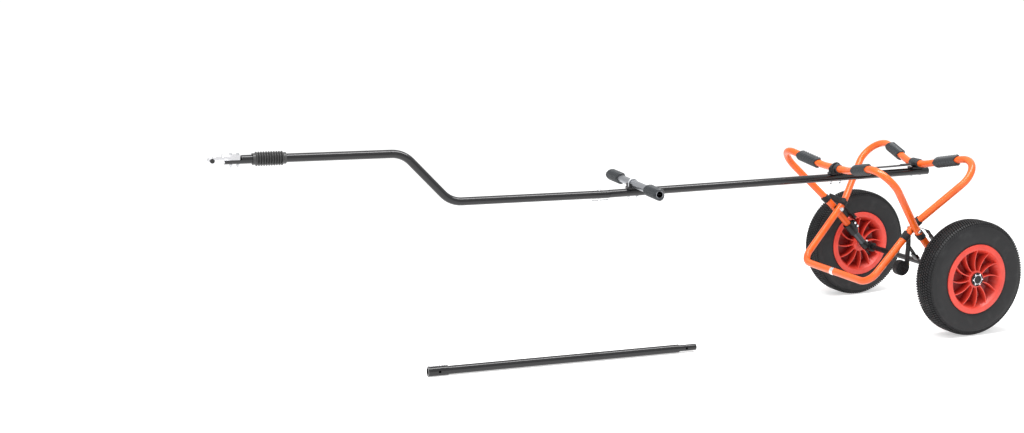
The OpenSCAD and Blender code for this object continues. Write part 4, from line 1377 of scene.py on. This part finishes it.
@dataclass
class Straps:
    """Lashing straps: windings on the loops, tails, buckles and the rolled spare end."""

    plan: Plan
    width: float = 0.025
    thickness: float = 0.0019
    tube: float = 0.0125
    lap: float = 0.0019
    lap_share: float = 0.82  # width of a gathered winding, as a share of the strap's
    front_right_up: float = 0.045
    rear_right_up: float = 0.028
    lap_thickness: float = 0.0011
    tail_gap: float = 0.031
    tail_top: float = -0.006
    buckle_up: float = -0.079
    hang_drop: float = 0.0307
    hang_length: float = 0.104
    roll_turns: int = 7
    roll_inside: float = 0.006
    roll_pitch: float = 0.003
    branch_start: float = 0.028
    branch_length: float = 0.058
    branch_turn: float = math.radians(-38)
    band_flat: float = 0.24
    band_slope: float = 0.35
    link_off: float = 0.0150

    def winding(self, name: str, loop: Loop, side: int, up: float, turns: float = 1.7,
                drift: float = 0.006) -> Piece:
        """Winds a strap round one leg of a loop.

        Args:
            name: The piece's name.
            loop: The loop.
            side: -1 for the left leg, 1 for the right one.
            up: Height of the winding's middle along the loop.
            turns: Number of turns.
            drift: How far it creeps along the tube.

        Returns:
            The winding.
        """
        count = round(turns * 36)
        stations = []
        for k in range(count + 1):
            share = k / count
            frame = loop.frame(side, up + drift * (share - 0.5))
            radius = self.tube + 0.0007 + share * self.lap
            turn = FULL_TURN * turns * share
            spot = Vector((radius * math.cos(turn), radius * math.sin(turn), 0))
            stations.append((frame @ spot, frame.to_3x3() @ Vector((0, 0.10, 1)).normalized()))
        return ribbon(name, stations, self.width * self.lap_share, self.lap_thickness)

    def windings(self) -> None:
        """Winds the straps round the four legs."""
        front, rear = self.plan.front, self.plan.rear
        pieces = [
            self.winding("winding_front_left", front, -1, -0.024),
            self.winding("winding_front_right", front, 1, self.front_right_up),
        ]
        fit(joined("strap_windings_front", pieces), "chassis", Paint.WEB, "webbing",
            "strap_wraps_front")
        pieces = [
            self.winding("winding_rear_left", rear, -1, 0.027, 2.4, 0.018),
            self.winding("winding_rear_right", rear, 1, self.rear_right_up),
            self.winding("winding_rear_low", rear, -1, -0.034, 2.6, 0.012),
        ]
        fit(joined("strap_windings_rear", pieces), "rear_frame", Paint.WEB, "webbing",
            "strap_wraps_rear")

    def tail(self, side: int) -> Piece:
        """Lays the webbing from a crossing down to the buckle on the front leg."""
        stations = []
        for k in range(25):
            up = self.tail_top + (self.buckle_up - self.tail_top) * k / 24
            ease = min(1.0, max(0.0, (self.tail_top - up) / 0.024))
            off = self.tail_gap - 0.013 * (1 - ease * ease * (3 - 2 * ease))
            frame = self.plan.front.frame(side, up)
            spot = frame @ Vector((off + 0.0006 * math.sin(k * 0.9), 0, 0))
            stations.append((spot, frame.to_3x3() @ Vector((0, 1, 0))))
        return ribbon("tail", stations, self.width, self.thickness)

    def tails(self) -> None:
        """Lays both tails and hangs their buckles on the leg clamps."""
        webs = [self.tail(-1), self.tail(1)]
        fit(joined("strap_tail_webs", webs), "chassis", Paint.WEB, "webbing", "strap_tails")
        buckles = []
        for side in (-1, 1):
            frame = self.plan.front.frame(side, self.buckle_up)
            spot = frame @ Matrix.Translation((self.tail_gap - 0.0005, 0, 0))
            buckles.append(CamBuckle(width=0.032).build("tail_buckle", spot))
        fit(joined("strap_tail_buckles", buckles), "chassis", Paint.NYLON, "black_plastic",
            "strap_buckles")

    def hanging_end(self) -> None:
        """Hangs the left strap's spare end with its roll, its elastic and a second buckle."""
        low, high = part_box("strap_hanging_end")
        across = Vector((0, 1, 0))
        top = self.plan.pivot + Vector((-0.005, (low.y + high.y) / 2, -self.hang_drop))
        stations = []
        for k in range(17):
            drop = self.hang_length * k / 16
            sway = 0.0012 * math.sin(math.pi * 2 * k / 16)
            stations.append((top + Vector((sway, 0, 0.003 - drop * 1.029)), across))
        outside = self.roll_inside + self.roll_pitch * self.roll_turns
        centre = top + Vector((-outside, 0, -self.hang_length))
        steps = self.roll_turns * 24
        for k in range(1, steps + 1):
            turn = -FULL_TURN * k / 24
            radius = outside - self.roll_pitch * k / 24
            slide = 0.0007 * math.sin(k * 0.21)
            spot = Vector((radius * math.cos(turn), slide, radius * math.sin(turn)))
            stations.append((centre + spot, across))
        pieces = [ribbon("spare_end", stations, self.width, self.thickness)]
        branch = Matrix.Translation(top + Vector((0, 0, -self.branch_start))) @ Matrix.Rotation(
            self.branch_turn, 4, "Y")
        stations = [
            (branch @ Vector((0.0014 * math.sin(math.pi * k / 10), 0,
                              0.004 - (self.branch_length + 0.004) * k / 10)), across)
            for k in range(11)
        ]
        pieces.append(ribbon("branch", stations, self.width, self.thickness))
        fit(joined("strap_spare_end", pieces), "rear_frame", Paint.WEB, "webbing",
            "strap_hanging_end")
        spot = branch @ Matrix.Translation((-0.003, 0, -self.branch_length + 0.004))
        fit(CamBuckle().build("strap_spare_buckle", spot), "rear_frame", Paint.NYLON,
            "black_plastic")
        bands = []
        for slide in (0.0, 0.0022):
            band = ring_round("band", self.width / 2 + 0.0014, 0.0006, 48)
            sculpted(band, lambda point: (
                point.x * self.band_flat, point.y, point.z - point.y * self.band_slope))
            lift = Vector((0, 0, 0.006 + slide - self.hang_length))
            bands.append(placed(band, Matrix.Translation(top + lift)))
        fit(joined("strap_roll_elastic", bands), "rear_frame", Paint.ELASTIC, "webbing")

    def spread(self) -> None:
        """Stretches the webbing between the two top bars, with hems and an eyelet."""
        low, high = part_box("spread_strap")
        start = Vector((low.x + 0.0070, 0, (low.z + high.z) / 2))
        run = high.x - start.x
        across = Vector((0, 1, 0))
        layers = []
        for name, first, last, lift in (
            ("web", 0.0, 1.0, 0.0), ("front_hem", 0.0, 0.16, 0.0021),
            ("rear_hem", 0.86, 1.0, 0.0021),
        ):
            count = max(4, round(30 * (last - first)))
            stations = []
            for k in range(count + 1):
                share = first + (last - first) * k / count
                sag = 0.0022 * math.sin(math.pi * share)
                stations.append((start + Vector((run * share, 0, lift - sag)), across))
            layers.append(ribbon(name, stations, self.width, self.thickness))
        fit(joined("spread_web", layers), "chassis", Paint.WEB, "webbing", "spread_strap")
        eye = placed(ring_round("spread_eyelet", 0.0046, 0.0015),
                     Matrix.Translation((low.x, 0, start.z)))
        fit(eye, "chassis", Paint.BLACK_STEEL, "black_steel")
        tab = block("spread_tab", (0.0120, 0.0130, 0.0018), (low.x + 0.0095, 0, start.z + 0.001))
        fit(tab, "chassis", Paint.WEB, "webbing")

    def crossing_link(self) -> None:
        """Runs the right strap across from the front loop's winding to the rear loop's."""
        start = self.plan.front.frame(1, self.front_right_up) @ Vector((self.link_off, 0, 0))
        end = self.plan.rear.frame(1, self.rear_right_up) @ Vector((-self.link_off, 0, 0))
        run = end - start
        across = Vector((0.3, 0, 1)) - run * (run.dot(Vector((0.3, 0, 1))) / run.length_squared)
        stations = [(start + run * (k / 10), across.normalized()) for k in range(11)]
        link = ribbon("strap_crossing_link", stations, self.width * self.lap_share,
                      self.thickness)
        link.data.materials.clear()
        link.data.materials.append(Paint.WEB.value.material())
        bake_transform(link)

    def build(self) -> None:
        """Builds and dresses every strap."""
        self.windings()
        self.tails()
        self.hanging_end()
        self.spread()
        self.crossing_link()


# ------------------------------------------------------------------ loose tube


@dataclass
class LooseTube:
    """The spare length of drawbar that lies on the floor."""

    plan: Plan

    def build(self) -> None:
        """Dresses the tube and its clip."""
        paint_nodes(Paint.BLACK_TUBE, "extension_tube")
        paint_nodes(Paint.CHROME, "extension_clip")


# ------------------------------------------------------------------ studio


@dataclass
class Studio:
    """Pale floor, soft lamps and the camera of the photograph."""

    eye: tuple[float, float, float] = (-2.2667, -4.448, 1.366)
    turn: tuple[float, float, float] = (79.459, 0.03, -22.811)
    lens: float = 53.578
    sky: float = 0.62
    floor_size: float = 60.0

    def camera(self) -> None:
        """Sets the camera up at the photograph's viewing angle."""
        data = bpy.data.cameras.new("studio_camera")
        data.lens = self.lens
        data.sensor_width = 36
        data.sensor_fit = "HORIZONTAL"
        data.clip_end = 100
        camera = bpy.data.objects.new("studio_camera", data)
        camera.location = self.eye
        camera.rotation_euler = [math.radians(value) for value in self.turn]
        bpy.context.scene.collection.objects.link(camera)
        bpy.context.scene.camera = camera

    def lamp(self, name: str, place: Point, aim: Point, size: tuple[float, float],
             power: float) -> None:
        """Hangs one large soft lamp.

        Args:
            name: The lamp's name.
            place: Where it hangs.
            aim: What it points at.
            size: Its length along the trailer and its width.
            power: Its power in watts.
        """
        data = bpy.data.lights.new(name, "AREA")
        data.shape = "RECTANGLE"
        data.size, data.size_y = size
        data.energy = power
        lamp = bpy.data.objects.new(name, data)
        lamp.location = Vector(place)
        heading = Vector(aim) - Vector(place)
        lamp.rotation_euler = heading.to_track_quat("-Z", "Y").to_euler()
        bpy.context.scene.collection.objects.link(lamp)

    def sky_dome(self) -> None:
        """Sets a plain sky that the camera and glossy surfaces see as white."""
        world = bpy.data.worlds.new("studio_sky")
        bpy.context.scene.world = world
        world.use_nodes = True
        tree = world.node_tree
        tree.nodes.clear()
        output = tree.nodes.new("ShaderNodeOutputWorld")
        path = tree.nodes.new("ShaderNodeLightPath")
        seen = tree.nodes.new("ShaderNodeMath")
        seen.operation = "MAXIMUM"
        tree.links.new(path.outputs["Is Camera Ray"], seen.inputs[0])
        tree.links.new(path.outputs["Is Glossy Ray"], seen.inputs[1])
        plain = tree.nodes.new("ShaderNodeBackground")
        plain.inputs["Color"].default_value = (1, 1, 1, 1)
        plain.inputs["Strength"].default_value = self.sky
        white = tree.nodes.new("ShaderNodeBackground")
        white.inputs["Color"].default_value = (1, 1, 1, 1)
        white.inputs["Strength"].default_value = 1.0
        mix = tree.nodes.new("ShaderNodeMixShader")
        tree.links.new(seen.outputs[0], mix.inputs[0])
        tree.links.new(plain.outputs[0], mix.inputs[1])
        tree.links.new(white.outputs[0], mix.inputs[2])
        tree.links.new(mix.outputs[0], output.inputs[0])

    def floor(self) -> None:
        """Lays a pale floor that keeps the trailer's shadow."""
        deselect()
        bpy.ops.mesh.primitive_grid_add(size=self.floor_size, x_subdivisions=8,
                                        y_subdivisions=8, location=(0, 0, -0.0002))
        floor = started("studio_floor")
        bench = Bench("pale_floor")
        bench.coat(Base_Color=(0.82, 0.82, 0.82), Roughness=0.9)
        glow = bench.node("ShaderNodeEmission", {}, {"Color": (1, 1, 1), "Strength": 0.50})
        both = bench.node("ShaderNodeAddShader", {}, {})
        bench.tree.links.new(bench.shader.outputs[0], both.inputs[0])
        bench.tree.links.new(glow.outputs[0], both.inputs[1])
        path = bench.node("ShaderNodeLightPath", {}, {})
        seen = bench.wire("ShaderNodeMath", {"operation": "MAXIMUM"}, {
            0: Wire(bench, path.outputs["Is Camera Ray"]),
            1: Wire(bench, path.outputs["Is Glossy Ray"]),
        })
        mix = bench.node("ShaderNodeMixShader", {}, {0: seen})
        bench.tree.links.new(bench.shader.outputs[0], mix.inputs[1])
        bench.tree.links.new(both.outputs[0], mix.inputs[2])
        bench.tree.links.new(mix.outputs[0], bench.output.inputs[0])
        floor.data.materials.append(bench.material)

    def build(self) -> None:
        """Sets up the whole studio."""
        bpy.context.scene.view_settings.view_transform = "Standard"
        self.camera()
        self.sky_dome()
        self.floor()
        self.lamp("overhead_lamp", (0.1, -0.5, 3.0), (0.1, -0.1, 0.3), (4.0, 0.9), 130)
        self.lamp("front_lamp", (-1.6, -4.6, 2.6), (0.3, 0.0, 0.3), (2.4, 2.4), 60)


def main() -> None:
    """Builds the scene in order."""
    logging.basicConfig(level=logging.INFO, format="%(name)s: %(message)s")
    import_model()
    Studio().build()
    plan = Plan.read()
    for part in (
        WheelPair(plan), AxleLine(plan), Cradle(plan), Drawbar(plan), Hitch(plan),
        Straps(plan), LooseTube(plan),
    ):
        LOG.info("building %s", type(part).__name__)
        part.build()
    deselect()


if __name__ == "__main__":
    main()
